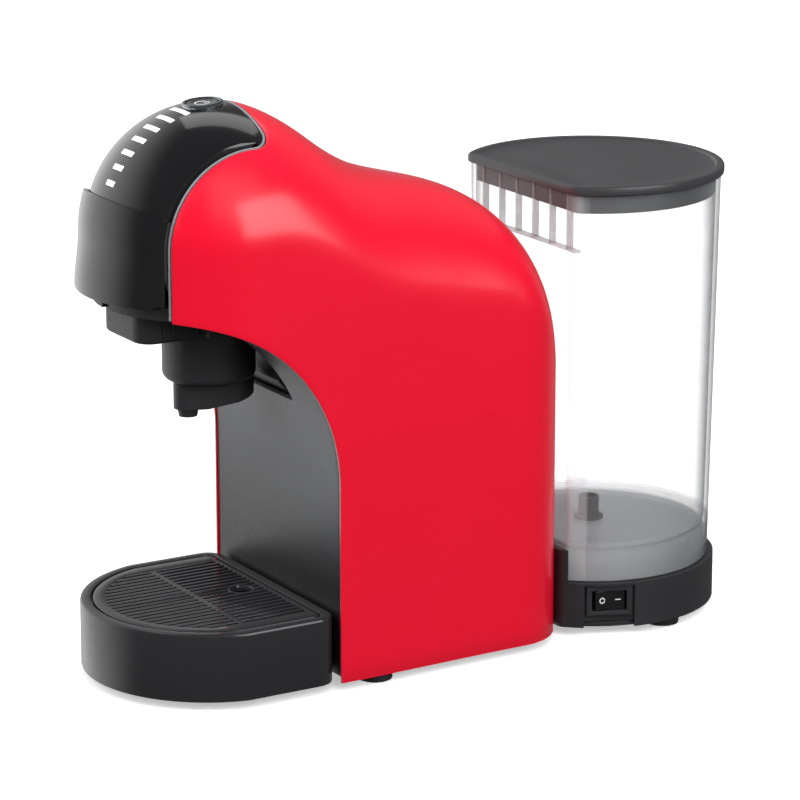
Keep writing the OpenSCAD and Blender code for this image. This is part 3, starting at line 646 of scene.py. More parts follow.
def open_hole(piece, spot, axis, radius, margin=1.25):
    """Deletes the faces around an axis and draws the rim of the hole onto its circle."""
    bm = bmesh.new()
    bm.from_mesh(piece.data)

    def off_axis(p):
        away = p - spot
        return away - axis * away.dot(axis)

    near = [f for f in bm.faces if off_axis(f.calc_center_median()).length < radius
            and (f.calc_center_median() - spot).dot(axis) > 0]
    bmesh.ops.delete(bm, geom=near, context="FACES")
    for edge in bm.edges:
        if edge.is_boundary:
            for v in edge.verts:
                away = off_axis(v.co)
                if away.length < radius * margin and (v.co - spot).dot(axis) > 0:
                    v.co += away.normalized() * (radius - away.length)
    bm.to_mesh(piece.data)
    bm.free()


panel = skin("control_cover", panel_rows(), inside=pivot, crease=30)
open_hole(panel, pivot, button_axis, hole_r)
thicken(panel, 2.0 * mm)
round_edges(panel, 0.3 * mm, angle=50)
black_gloss = moulded("black_gloss", (12, 12, 14), (17, 17, 19), 0.05, 0.01, (0.13, 0.17),
                      IOR=1.5, Coat_Weight=0.6, Coat_Roughness=0.04)
black_gloss.bump(black_gloss.noise(0.003, 1), 0.000003)
dress(panel, black_gloss, "housing", "black_gloss", "control_panel")

# ---------- Light bars ----------
# Seven translucent bars set flush into the panel. Each is a little wider than the one below
# it, and they show how far the cup is filled.
led_count, led_first, led_last = 7, 26.7, 73.5
led_height, led_depth, led_proud = 2.7 * mm, 2.0 * mm, 0.12 * mm
led_narrow, led_wide = 7 * mm, 15.5 * mm


class Recipe(Nodes):
    """A Geometry Nodes tree with named inputs. grow() bakes its result as a plain mesh."""

    def __init__(self, name, **inputs):
        super().__init__(bpy.data.node_groups.new(name, "GeometryNodeTree"))
        face_of = self.tree.interface
        face_of.new_socket("Geometry", in_out="OUTPUT", socket_type="NodeSocketGeometry")
        self.values, self.keys = inputs, {}
        for label, value in inputs.items():
            kind = "NodeSocketInt" if isinstance(value, int) else "NodeSocketFloat"
            self.keys[label] = face_of.new_socket(label, in_out="INPUT", socket_type=kind).identifier
        self.start = self.tree.nodes.new("NodeGroupInput")

    def input(self, label):
        return Value(self, self.start.outputs[label])

    def position(self, k):
        """X, Y or Z of each point, for k of 0, 1 or 2."""
        return self.component(self.node("GeometryNodeInputPosition", {}, {}), k)

    def vector(self, x=0.0, y=0.0, z=0.0):
        return self.node("ShaderNodeCombineXYZ", {}, {0: x, 1: y, 2: z})

    def ends_in(self, geometry, finish):
        """Makes the instances real and gives them their material."""
        real = self.node("GeometryNodeRealizeInstances", {}, {0: geometry})
        done = self.node("GeometryNodeSetMaterial", {}, {"Geometry": real, "Material": finish.material})
        end = self.tree.nodes.new("NodeGroupOutput")
        self.tree.links.new(done.socket, end.inputs[0])

    def grow(self, **values):
        """Plain mesh of the tree's result, with some of its inputs changed."""
        holder = bpy.data.objects.new("holder", bpy.data.meshes.new("holder"))
        bpy.context.collection.objects.link(holder)
        modifier = holder.modifiers.new("recipe", "NODES")
        modifier.node_group = self.tree
        for label, value in {**self.values, **values}.items():
            modifier[self.keys[label]] = value
        ready = holder.evaluated_get(bpy.context.evaluated_depsgraph_get())
        mesh = bpy.data.meshes.new_from_object(ready)
        bpy.data.objects.remove(holder)
        return mesh


light_bars = moulded("light_bars", (240, 243, 247), (250, 251, 252), 0.01, 0.004, (0.25, 0.35),
                     IOR=1.45, Emission_Strength=0.55)
light_bars.set(Emission_Color=light_bars.tint(
    light_bars.noise(0.01), srgb(240, 245, 250), srgb(255, 255, 255)))

bar = Recipe("light_bar", Width=led_wide, Angle=0.5)
line = bar.node("GeometryNodeCurvePrimitiveLine", {}, {
    "Start": bar.vector(x=bar.input("Width") * -0.5), "End": bar.vector(x=bar.input("Width") * 0.5)})
fine_line = bar.node("GeometryNodeResampleCurve", {}, {"Curve": line, "Count": 9})
nose_radius = (1 - (bar.position(0) / half_w) ** 2.0) ** 0.5 * (head_r - panel_inset)
bowed = bar.node("GeometryNodeSetPosition", {}, {
    "Geometry": fine_line, "Offset": bar.vector(y=(led_depth / 2 - led_proud) - nose_radius)})
profile = bar.node("GeometryNodeCurvePrimitiveQuadrilateral", {}, {"Width": led_depth, "Height": led_height})
swept = bar.node("GeometryNodeCurveToMesh", {}, {"Curve": bowed, "Profile Curve": profile, "Fill Caps": True})
bar.ends_in(bar.node("GeometryNodeTransform", {}, {
    "Geometry": swept, "Translation": tuple(pivot),
    "Rotation": bar.vector(x=bar.input("Angle") * -1.0)}), light_bars)

shares = [k / (led_count - 1) for k in range(led_count)]
bars = [bar.grow(Width=mix(led_narrow, led_wide, share), Angle=math.radians(mix(led_first, led_last, share)))
        for share in shares]
leds = settle("light_bars", join_meshes("light_bars", bars), crease=30)
round_edges(leds, 0.35 * mm, segments=3)
dress(leds, light_bars, "housing", "light_white", "led_windows")

# ---------- Button ----------
# Polished black key in a bright plated ring, on top of the nose. The key is slightly dished
# and carries the usual power mark.


def turned(name, profile, origin, axis, count=64, crease=35):
    """Turned part: the profile is a list of radius and height, with its closed ends on the axis."""
    across_axis = axis.orthogonal().normalized()
    other = axis.cross(across_axis)
    rows = [[origin + axis * h + (across_axis * math.cos(t) + other * math.sin(t)) * r
             for t in (2 * math.pi * k / count for k in range(count))] for r, h in profile]
    return skin(name, rows, wrap=True, crease=crease)


ring_out, ring_in, ring_top, ring_deep = 9.2 * mm, 7.6 * mm, 57.45 * mm, 5.6 * mm
ring_profile = [(ring_in, ring_top - ring_deep), (ring_in, ring_top - 0.5 * mm),
                (ring_in + 0.3 * mm, ring_top - 0.08 * mm), ((ring_in + ring_out) / 2, ring_top),
                (ring_out - 0.3 * mm, ring_top - 0.1 * mm), (ring_out, ring_top - 0.5 * mm),
                (ring_out, ring_top - ring_deep), (ring_in, ring_top - ring_deep)]
ring = turned("button_ring_plated", ring_profile, pivot, button_axis)
bright_ring = moulded("bright_ring", (150, 153, 158), (168, 171, 175), 0.004, 0.002, (0.14, 0.22),
                      Metallic=1.0)
dress(ring, bright_ring, "housing", "chrome_ring", "button_ring")

key_r, key_top, key_dish, key_deep = 7.25 * mm, 57.0 * mm, 0.5 * mm, 4.2 * mm
dish_r = key_r * 0.85
key_profile = [(0, key_top - key_dish)]
key_profile += [(dish_r * k / 8, key_top - key_dish * (1 - (k / 8) ** 2)) for k in range(1, 9)]
key_profile += [(key_r - 0.35 * mm, key_top - 0.05 * mm), (key_r, key_top - 0.4 * mm),
                (key_r, key_top - key_deep), (0, key_top - key_deep)]
key = turned("power_key", key_profile, pivot, button_axis)
dress(key, black_gloss, "button", "black_gloss", "power_button")

mark_r, mark_w, ink_low, ink_high = 3.0 * mm, 0.55 * mm, -0.2 * mm, 0.06 * mm


def on_key(across, back, height):
    """Spot on the dished face of the key, raised by height."""
    dish = key_dish * (1 - min(1, (across * across + back * back) / dish_r ** 2))
    side_axis = Vector((1, 0, 0))
    return (pivot + side_axis * across + button_axis.cross(side_axis) * back
            + button_axis * (key_top - dish + height))


def merged(name, pieces):
    """One piece made of several."""
    whole = settle(name, join_meshes(name, [piece.data for piece in pieces]))
    for piece in pieces:
        bpy.data.objects.remove(piece)
    return whole


ink_section = ((0, ink_low), (0, ink_high), (mark_w, ink_high), (mark_w, ink_low))
arc_rows = [[on_key((mark_r + w) * math.cos(t), (mark_r + w) * math.sin(t), h) for w, h in ink_section]
            for t in (math.radians(mix(125, 415, k / 40)) for k in range(41))]
bar_rows = [[on_key(w - mark_w / 2, back * mm, h) for w, h in ink_section] for back in (0.9, 2.2, 3.6)]
power_sign = merged("power_mark", [skin("mark", rows, wrap=True, caps=True) for rows in (arc_rows, bar_rows)])
white_ink = moulded("white_ink", (214, 216, 219), (228, 229, 231), 0.001, 0.001, (0.4, 0.5))
dress(power_sign, white_ink, "button", "light_white")

# ---------- Lever ----------
# Polished black cover that wraps the lower front of the nose, flared into a finger lip at
# its bottom edge. Two steel arms behind it turn on pins at the pivot.
lever_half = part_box("lever_cover")[1].x
lip_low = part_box("lever_cover")[0].z
seam = math.radians(19.5)
lip_corner = 3 * mm
lever_in, lever_out, lip_out = 0.5 * mm, 2.8 * mm, 5.2 * mm


def lever_rows():
    """Closed sections of the lever across the machine: down its face, then up its inside."""
    rows = []
    for k in range(49):
        t = math.pi / 2 * (k - 24) / 24
        x = lever_half * math.sin(t)
        c = crown(x)
        inner, outer, lip = c + lever_in, c + lever_out, c + lip_out
        short = lip_corner - root(lip_corner ** 2 - max(0, abs(x) - lever_half + lip_corner) ** 2)
        low = lip_low - pivot.z + short
        high_out, high_in = outer * math.sin(seam), inner * math.sin(seam)
        front = [mix(high_out, low, j / 22) for j in range(23)]
        back = [mix(low, high_in, j / 22) for j in range(23)]
        flare = [mix(outer, lip, smooth(z / (lip_low - pivot.z))) for z in front]
        row = [(x, -root(outer ** 2 - z * z) if z > 0 else -out, z) for z, out in zip(front, flare)]
        row += [(x, -root(inner ** 2 - z * z) if z > 0 else -inner, z) for z in back]
        rows.append([pivot + Vector(spot) for spot in row])
    return rows


lever = skin("lever_front", lever_rows(), wrap=True, caps=True, crease=32)
round_edges(lever, 0.7 * mm, segments=3, angle=42)
dress(lever, black_gloss, "lever", "black_gloss", "lever_cover")

steel_satin = moulded("steel_satin", (150, 152, 156), (178, 180, 184), 0.004, 0.0008, (0.26, 0.4),
                      Metallic=1.0)


def coat(finish, *names):
    """Gives CAD nodes whose shape is right a material."""
    for name in names:
        data = nodes[name].data
        data.materials.clear()
        data.materials.append(finish.material)


coat(steel_satin, "lever_pins", "brew_frame", "piston_crossbar", "piercing_needle", "screws")

# ---------- Chin, guide and arms ----------
# Satin black nylon parts under the head: the chin closes the head round the pod well, and
# the guide behind it carries the pod holder's rails and ends in a claw.


def softened(name, node, width, segments=2, crease=30):
    """Copy of a CAD node with its flat faces made whole again and its edges rounded."""
    bm = bmesh.new()
    bm.from_mesh(nodes[node].data)
    bmesh.ops.remove_doubles(bm, verts=bm.verts, dist=2e-6)
    bmesh.ops.dissolve_limit(bm, verts=bm.verts, edges=bm.edges, angle_limit=math.radians(0.6))
    mesh = bpy.data.meshes.new(name)
    bm.to_mesh(mesh)
    bm.free()
    mesh.shade_smooth()
    mesh.set_sharp_from_angle(angle=math.radians(crease))
    piece = bpy.data.objects.new(name, mesh)
    bpy.context.collection.objects.link(piece)
    round_edges(piece, width, segments)
    return piece


black_satin = moulded("black_satin", (38, 38, 40), (46, 46, 48), 0.02, 0.0012, (0.36, 0.46), (3, 3), IOR=1.48)
black_satin.bump(black_satin.noise(0.00035, 1), 0.00001)


def satin_copy(name, node, width, body):
    """Rounded copy of a CAD node in satin black, standing for it."""
    dress(softened(name, node, width), black_satin, body, "black_satin", node)


satin_copy("chin_cover", "head_chin", 0.4 * mm, "housing")
satin_copy("pod_guide", "holder_bracket", 0.5 * mm, "housing")
satin_copy("arm_pair", "lever_arms", 0.2 * mm, "lever")

# ---------- Pod holder ----------
# Satin black glass-filled nylon: a cup on two rails, a handle in front with fine grip ribs on
# both sides, and a wedge-shaped outlet under it. It slides out towards the user.
grip_low, grip_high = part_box("holder_grip")
cup_axis_y = (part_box("holder_sieve")[0].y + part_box("holder_sieve")[1].y) / 2
satin_copy("pod_cup", "holder_cup", 0.5 * mm, "holder")
satin_copy("outlet", "spout", 0.5 * mm, "holder")
coat(steel_satin, "holder_sieve")

# Handle: a block with round front corners, rounded along its bottom, hollowed round the cup.
grip_half, grip_r = 20.4 * mm, 9 * mm
cup_r = 21.05 * mm
wing_end, bow_half_width = 15.2 * mm, 14.3 * mm


def grip_outline(inset):
    """Half outline of the handle mirrored into a ring, starting at the cup's left side."""
    w, r = grip_half - inset, grip_r - inset
    front = grip_low.y + inset
    ring = [(-w + r * (1 - math.cos(math.radians(b))), front + r * (1 - math.sin(math.radians(b))))
            for b in range(0, 91, 10)]
    ring = [(-w, cup_axis_y - wing_end)] + ring
    ring += [(-x, y) for x, y in reversed(ring)]
    bow = [min(w, bow_half_width) * (1 - 2 * k / 16) for k in range(17)]
    return ring + [(x, cup_axis_y - root(cup_r ** 2 - x * x)) for x in bow]


def tower(name, levels, crease=30, caps=True):
    """Closed part stacked from outlines with the same number of points: a list of (outline, z)."""
    return skin(name, [[Vector((x, y, z)) for x, y in ring] for ring, z in levels], wrap=True, caps=caps,
                crease=crease)


edge_r = 2.2 * mm
round_low = [(edge_r * (1 - math.sin(math.radians(b))), grip_low.z + edge_r * (1 - math.cos(math.radians(b))))
             for b in range(0, 91, 15)]
grip_levels = [(grip_outline(inset), z) for inset, z in round_low]
grip_levels += [(grip_outline(0), grip_high.z - 1.1 * mm), (grip_outline(0.25 * mm), grip_high.z - 0.75 * mm),
                (grip_outline(0.7 * mm), grip_high.z - 0.55 * mm)]
grip = tower("handle", grip_levels)

first_rib = cup_axis_y - 34.5 * mm
rib_height = (grip_low.z + grip_high.z) / 2 + 0.4 * mm
ribs = Recipe("grip_ribs", Count=9, Pitch=2.35 * mm, Radius=0.75 * mm, Length=9.6 * mm)
row_of_ribs = ribs.node("GeometryNodeMeshLine", {}, {
    "Count": ribs.input("Count"), "Offset": ribs.vector(y=ribs.input("Pitch"))})
rod = ribs.node("GeometryNodeMeshCylinder", {"fill_type": "NGON"}, {
    "Vertices": 12, "Radius": ribs.input("Radius"), "Depth": ribs.input("Length")})
tip = ribs.node("GeometryNodeMeshUVSphere", {}, {"Segments": 12, "Rings": 6, "Radius": ribs.input("Radius")})
tips = [ribs.node("GeometryNodeTransform", {}, {
    "Geometry": tip, "Translation": ribs.vector(z=ribs.input("Length") * end)}) for end in (-0.5, 0.5)]
rib = ribs.node("GeometryNodeJoinGeometry", {}, {0: [rod] + tips})
pair = [ribs.node("GeometryNodeTransform", {}, {
    "Geometry": ribs.node("GeometryNodeInstanceOnPoints", {}, {"Points": row_of_ribs, "Instance": rib}),
    "Translation": (s * (grip_half - 0.3 * mm), first_rib, rib_height)}) for s in (-1, 1)]
ribs.ends_in(ribs.node("GeometryNodeJoinGeometry", {}, {0: pair}), black_satin)
rib_piece = settle("handle_ribs", ribs.grow(), crease=50)
dress(grip, black_satin, "holder", "black_satin", "holder_grip")
dress(rib_piece, black_satin, "holder", "black_satin")

# ---------- Brewing head ----------
# White acetal piston with a red silicone ring and a steel needle, pressed down on the pod by
# a steel crossbar.
acetal = moulded("acetal", (226, 225, 218), (236, 235, 230), 0.02, 0.002, (0.35, 0.5), IOR=1.48)
silicone_red = moulded("silicone_red", (178, 52, 38), (196, 64, 46), 0.003, 0.001, (0.5, 0.65), IOR=1.41)
coat(acetal, "brew_piston", "valve_stem", "thermostat", "flow_meter")
coat(silicone_red, "piston_seal", "valve_seal", "dock_seal")

# ---------- Drip tray ----------
# Polished black tray that pushes onto a tongue of the base plate, with a round front and a
# stepped rim that the grid sits in.
tray_low, tray_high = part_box("drip_tray")
tray_half = tray_high.x
tray_r = tray_half + 1.3 * mm
tray_centre = Vector((0, tray_low.y + tray_r, 0))
tray_corner = 9 * mm


def outline(inside, origin, count):
    """Ring of points where rays from an inner spot leave a plan shape given by a test."""
    ring = []
    for k in range(count):
        t = 2 * math.pi * (k + 0.5) / count
        near, far = 0.0, 120 * mm
        for halving in range(22):
            middle = (near + far) / 2
            if inside(origin.x + middle * math.cos(t), origin.y + middle * math.sin(t)):
                near = middle
            else:
                far = middle
        ring.append((origin.x + near * math.cos(t), origin.y + near * math.sin(t)))
    return ring


def in_rounded_rear(x, y, half, back, r):
    """True in front of a straight back edge with round corners."""
    over_x, over_y = abs(x) - half + r, y - back + r
    if over_x <= 0 or over_y <= 0:
        return abs(x) <= half and y <= back
    return over_x * over_x + over_y * over_y <= r * r


def tray_ring(inset):
    """Outline of the tray: round in front, straight at the back with round corners."""
    corner = max(0.5 * mm, tray_corner - inset)

    def inside(x, y):
        v = y - tray_centre.y
        return ((v > 0 or x * x + v * v <= (tray_r - inset) ** 2)
                and in_rounded_rear(x, y, tray_half - inset, tray_high.y - inset, corner))
    return outline(inside, tray_centre, 240)


rim_w = 4.8 * mm
tray_floor = tray_low.z + 4.7 * mm
under_tray = tray_low.z + 2.4 * mm
# Section of the tray's wall from the skirt over the rim down to the floor: inset in mm, height.
tray_sides = [(3.2, under_tray), (2.6, tray_low.z + 0.3 * mm), (2.2, tray_low.z), (0.8, tray_low.z),
              (0.2, tray_low.z + 0.35 * mm), (0, tray_low.z + 1.0 * mm), (0, tray_high.z - 1.3 * mm),
              (0.12, tray_high.z - 0.7 * mm), (0.45, tray_high.z - 0.2 * mm), (1.0, tray_high.z),
              (4.2, tray_high.z), (4.65, tray_high.z - 0.15 * mm), (4.8, tray_high.z - 0.5 * mm),
              (4.8, tray_high.z - 2.8 * mm), (6.1, tray_high.z - 2.8 * mm), (6.1, tray_floor + 2 * mm),
              (6.8, tray_floor + 0.6 * mm), (8.2, tray_floor)]
tray_rings = {inset: tray_ring(inset * mm) for inset in {i for i, _ in tray_sides}}
tongue_half = 40.6 * mm
notch_start = tray_high.y - 12 * mm


def over_tongue(ring, z):
    """Lifts the skirt where the tongue of the base plate passes under the back of the tray."""
    return [Vector((x, y, max(z, under_tray) if y > notch_start and abs(x) < tongue_half else z))
            for x, y in ring]


tray = skin("tray_shell", [over_tongue(tray_rings[i], z) for i, z in tray_sides],
            wrap=True, caps=True, crease=35)
tray_gloss = moulded("tray_gloss", (33, 33, 35), (39, 39, 41), 0.05, 0.004, (0.2, 0.27),
                     IOR=1.5, Coat_Weight=0.35, Coat_Roughness=0.06)
tray_gloss.bump(tray_gloss.noise(0.002, 1), 0.000003)
dress(tray, tray_gloss, "tray", "black_gloss", "drip_tray")

# ---------- Drip grid ----------
# Black grid lifted out for cleaning: slats with round tops run from front to back between a
# rim and one crossbar, round a finger hole.
grid_low, grid_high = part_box("drip_grid")
slot_count, slot_pitch, slot_w = 21, 4.2 * mm, 2.3 * mm
field_back = tray_high.y - 8.4 * mm
field_r = tray_r - rim_w - 6.6 * mm
field_half = slot_pitch * slot_count / 2 - (slot_pitch - slot_w) / 2
grid_bar = tray_centre.y - 7.8 * mm
finger_spot = Vector((0, tray_centre.y + 15 * mm, 0))


def field_ring(inset):
    """Edge of the slotted field inside the grid's rim."""
    def inside(x, y):
        v = y - tray_centre.y
        return abs(x) <= field_half - inset and y <= field_back - inset and (
            v > 0 or x * x + v * v <= (field_r - inset) ** 2)
    return outline(inside, tray_centre, 240)


top_z, low_z = grid_high.z, grid_low.z
grid_outer = [(tray_ring(inset * mm), z) for inset, z in (
    (5.9, low_z), (5.8, low_z + 0.3 * mm), (5.8, top_z - 0.5 * mm), (5.95, top_z - 0.15 * mm), (6.3, top_z))]
grid_inner = [(field_ring(inset * mm), z) for inset, z in (
    (-0.5, top_z), (-0.1, top_z - 0.2 * mm), (0, top_z - 0.6 * mm), (0, low_z))]
grid_rim = tower("grid_rim", grid_outer + grid_inner + [grid_outer[0]], caps=False, crease=35)

slats = Recipe("grid_slats", Count=slot_count - 1, Pitch=slot_pitch, Slat=slot_pitch - slot_w,
               Deep=top_z - low_z, Radius=field_r + 0.8 * mm, Back=field_back + 0.8 * mm)
first_x = (slats.input("Count") - 1) * slats.input("Pitch") * -0.5
spots = slats.node("GeometryNodeMeshLine", {}, {
    "Count": slats.input("Count"), "Start Location": slats.vector(x=first_x, y=tray_centre.y),
    "Offset": slats.vector(x=slats.input("Pitch"))})
front_y = tray_centre.y - (slats.input("Radius") ** 2.0 - slats.position(0) ** 2.0) ** 0.5
middles = slats.node("GeometryNodeSetPosition", {}, {
    "Geometry": spots, "Offset": slats.vector(y=(front_y + slats.input("Back")) * 0.5 - tray_centre.y)})
slat = slats.node("GeometryNodeMeshCube", {}, {
    "Size": slats.vector(slats.input("Slat"), 1.0, slats.input("Deep"))})
row_of_slats = slats.node("GeometryNodeInstanceOnPoints", {}, {
    "Points": middles, "Instance": slat,
    "Scale": slats.vector(1.0, (slats.input("Back") - slats.position(1)) * 2.0, 1.0)})
slats.ends_in(slats.node("GeometryNodeTransform", {}, {
    "Geometry": row_of_slats, "Translation": (0.0, 0.0, (top_z + low_z) / 2)}), tray_gloss)
slat_piece = settle("grid_slats", slats.grow(), crease=30)
finger_r, collar_r, collar_mid = 5.0 * mm, 6.3 * mm, 5.6 * mm
upright = Vector((0, 0, 1))
hole_cutter = turned("hole_cutter", [
    (0, low_z - 1 * mm), (collar_mid, low_z - 1 * mm), (collar_mid, top_z + 1 * mm), (0, top_z + 1 * mm)],
    finger_spot, upright, 40)
cut = slat_piece.modifiers.new("finger_hole", "BOOLEAN")
cut.object = hole_cutter
cut.solver = "EXACT"
ready = slat_piece.evaluated_get(bpy.context.evaluated_depsgraph_get())
slat_piece.data = bpy.data.meshes.new_from_object(ready)
slat_piece.modifiers.clear()
bpy.data.objects.remove(hole_cutter)
round_edges(slat_piece, 0.35 * mm, segments=2)
bar_reach = field_half + 0.4 * mm
crossbar = tower("grid_crossbar", [
    ([(a * bar_reach, grid_bar + b * w) for a, b in ((-1, -1), (1, -1), (1, 1), (-1, 1))], z)
    for w, z in ((1.2 * mm, low_z + 0.1 * mm), (1.2 * mm, top_z - 0.25 * mm), (0.9 * mm, top_z - 0.05 * mm))])
finger_ring = turned("finger_ring", [
    (finger_r, low_z), (finger_r, top_z - 0.4 * mm), (finger_r + 0.2 * mm, top_z - 0.1 * mm),
    (collar_mid, top_z), (collar_r - 0.2 * mm, top_z - 0.1 * mm), (collar_r, top_z - 0.4 * mm),
    (collar_r, low_z), (finger_r, low_z)], finger_spot, upright, 40)
dress(grid_rim, tray_gloss, "grid", "black_gloss", "drip_grid")
for part in (slat_piece, crossbar, finger_ring):
    dress(part, tray_gloss, "grid", "black_gloss")

# ---------- Tank ----------
# Clear injection-moulded tank with a flat front, drawn in slightly towards its bottom. Ribs
# stiffen the flat wall under the rim, and a black valve stands in its floor.
tank_low, tank_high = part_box("water_tank")
tank_r = tank_high.x
tank_y = tank_high.y - tank_r
tank_chord = tank_y - tank_low.y
wall, tank_draft, tank_corner, floor_round = 2.2, 3 * mm, 5 * mm, 4 * mm
dock_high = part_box("dock_socket")[1].z
floor_low, floor_top = dock_high + 2 * mm, dock_high + 4.2 * mm


def d_ring(r, chord, corner):
    """Outline of a circle cut by a chord in front of its centre, with rounded corners."""
    cx = root((r - corner) ** 2 - (chord - corner) ** 2)
    a = math.atan2(corner - chord, cx)
    ring = [(r * math.cos(t), r * math.sin(t)) for t in (mix(a, math.pi - a, k / 96) for k in range(97))]
    for x, start, end in ((-cx, math.pi - a, 1.5 * math.pi), (cx, 1.5 * math.pi, 2 * math.pi + a)):
        ring += [(x + corner * math.cos(t), corner - chord + corner * math.sin(t))
                 for t in (mix(start, end, k / 8) for k in range(1, 9))]
    return [(x, y + tank_y) for x, y in ring[:-1]]


def tank_level(inset, z):
    """Outline of the tank at a height, drawn in towards its bottom, with that height."""
    r = tank_r - tank_draft * (tank_high.z - z) / (tank_high.z - tank_low.z)
    return d_ring(r - inset, tank_chord - inset, max(tank_corner - inset, 1.5 * mm)), z


# Section of the wall, up its outside, over the rim and down to the floor: inset in mm, height.
foot_top, lip_low_z = tank_low.z + 0.5 * mm, tank_high.z - 0.4 * mm
tank_profile = [(wall, floor_low), (wall, tank_low.z + 0.3 * mm), (1.9, tank_low.z), (0.4, tank_low.z),
                (0, foot_top)]
tank_profile += [(0, mix(foot_top, tank_high.z - 0.6 * mm, k / 6)) for k in range(1, 7)]
tank_profile += [(0.4, tank_high.z), (1.8, tank_high.z), (wall, lip_low_z)]
tank_profile += [(wall, mix(lip_low_z, floor_top + floor_round, k / 6)) for k in range(1, 7)]
tank_profile += [(wall + floor_round / mm * (1 - math.cos(t)), floor_top + floor_round * (1 - math.sin(t)))
                 for t in (math.pi / 2 * k / 5 for k in range(1, 6))]
tank = tower("tank_shell", [tank_level(inset * mm, z) for inset, z in tank_profile], crease=45)

# The walls are clear where they are seen straight on, and grey at their edges, in the moulded
# corners and in the floor.
clear_plastic = Finish("clear_plastic", IOR=1.46, Specular_IOR_Level=0.5)
facing = clear_plastic.node("ShaderNodeLayerWeight", {}, {"Blend": 0.5}, "Facing")
corner_x = root((tank_r - tank_corner) ** 2 - (tank_chord - tank_corner) ** 2)
corner_y = tank_y - tank_chord + tank_corner
place_x, place_y, place_z = (clear_plastic.component(clear_plastic.place, k) for k in range(3))
from_corner = (((place_x ** 2.0) ** 0.5 - corner_x) ** 2.0 + (place_y - corner_y) ** 2.0) ** 0.5
in_corner = clear_plastic.ramp(from_corner, 4.5 * mm, 6.0 * mm, 1.0, 0.0)
in_floor = clear_plastic.ramp(place_z, floor_top + 0.5 * mm, floor_top + 5 * mm, 1.0, 0.0)
clear_plastic.set(
    Base_Color=clear_plastic.tint(facing, srgb(226, 230, 233), srgb(120, 124, 128)),
    Roughness=clear_plastic.grain(0.02, 0.02, 0.05),
    Alpha=clear_plastic.ramp(facing, 0.45, 1.0, 0.06, 0.7) + in_corner * 0.16 + in_floor * 0.34)
dress(tank, clear_plastic, "tank", "clear_tank", "water_tank")

# Ribs inside the flat front wall, closed below by a ledge.
rib_low, rib_run = tank_high.z - 27 * mm, 13 * mm
rib_y = tank_y - tank_chord + 3.6 * mm
wall_ribs = Recipe("tank_ribs", Count=6, Pitch=14.5 * mm, Width=1.4 * mm, Deep=3.2 * mm, High=2 * rib_run)
start_x = (wall_ribs.input("Count") - 1) * wall_ribs.input("Pitch") * -0.5
columns = wall_ribs.node("GeometryNodeMeshLine", {}, {
    "Count": wall_ribs.input("Count"), "Start Location": wall_ribs.vector(start_x, rib_y, rib_low + rib_run),
    "Offset": wall_ribs.vector(x=wall_ribs.input("Pitch"))})
slab = wall_ribs.node("GeometryNodeMeshCube", {}, {"Size": wall_ribs.vector(
    wall_ribs.input("Width"), wall_ribs.input("Deep"), wall_ribs.input("High"))})
standing = wall_ribs.node("GeometryNodeInstanceOnPoints", {}, {"Points": columns, "Instance": slab})
shelf = wall_ribs.node("GeometryNodeMeshCube", {}, {"Size": wall_ribs.vector(
    wall_ribs.input("Pitch") * wall_ribs.input("Count"), wall_ribs.input("Deep"), wall_ribs.input("Width"))})
ledge = wall_ribs.node("GeometryNodeTransform", {}, {"Geometry": shelf, "Translation": (0.0, rib_y, rib_low)})
rib_plastic = moulded("rib_plastic", (176, 172, 174), (196, 192, 194), 0.01, 0.01, (0.08, 0.14), IOR=1.46)
rib_plastic.set(Alpha=rib_plastic.ramp(rib_plastic.noise(0.02), 0.2, 0.8, 0.38, 0.5))
wall_ribs.ends_in(wall_ribs.node("GeometryNodeJoinGeometry", {}, {0: [standing, ledge]}), rib_plastic)
rib_set = settle("tank_ribs", wall_ribs.grow(), crease=30)
round_edges(rib_set, 0.25 * mm)
dress(rib_set, rib_plastic, "tank", "clear_tank")
satin_copy("valve_body", "valve_housing", 0.3 * mm, "tank")

# ---------- Lid ----------
# Satin black lid that drops into the tank on a skirt. Its top is sunk behind a bevelled rim,
# and the sunk part ends in a bow behind the straight front.
lid_low, lid_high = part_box("tank_lid")
lid_r = lid_high.x
lid_chord = tank_y - lid_low.y
lid_centre = Vector((0, tank_y + 8 * mm, 0))
bow_reach, bow_edge, bow_half = 11.5 * mm, 1.5 * mm, 44 * mm
bow_sag = bow_reach - bow_edge
bow_r = (bow_half ** 2 + bow_sag ** 2) / (2 * bow_sag)
bow_y = tank_y - lid_chord + bow_reach - bow_r
rim_top_w, lid_corner = 3.4 * mm, 5 * mm


def lid_ring(inset):
    """Outer edge of the lid: a circle cut by the chord, with its corners rounded."""
    r, chord, corner = lid_r - inset, lid_chord - inset, lid_corner - inset
    cx = root((r - corner) ** 2 - (chord - corner) ** 2)

    def inside(x, y):
        v = y - tank_y
        if abs(x) > cx and v < (corner - chord) * abs(x) / cx:
            return (abs(x) - cx) ** 2 + (v + chord - corner) ** 2 <= corner ** 2
        return x * x + v * v <= r * r and v >= -chord
    return outline(inside, lid_centre, 220)


def sunk_ring(inset):
    """Edge of the sunk top: a circle inside the rim, cut by the bow."""
    r = lid_r - rim_top_w - inset

    def inside(x, y):
        v = y - tank_y
        return x * x + v * v <= r * r and x * x + (y - bow_y) ** 2 >= (bow_r + inset) ** 2
    return outline(inside, lid_centre, 220)


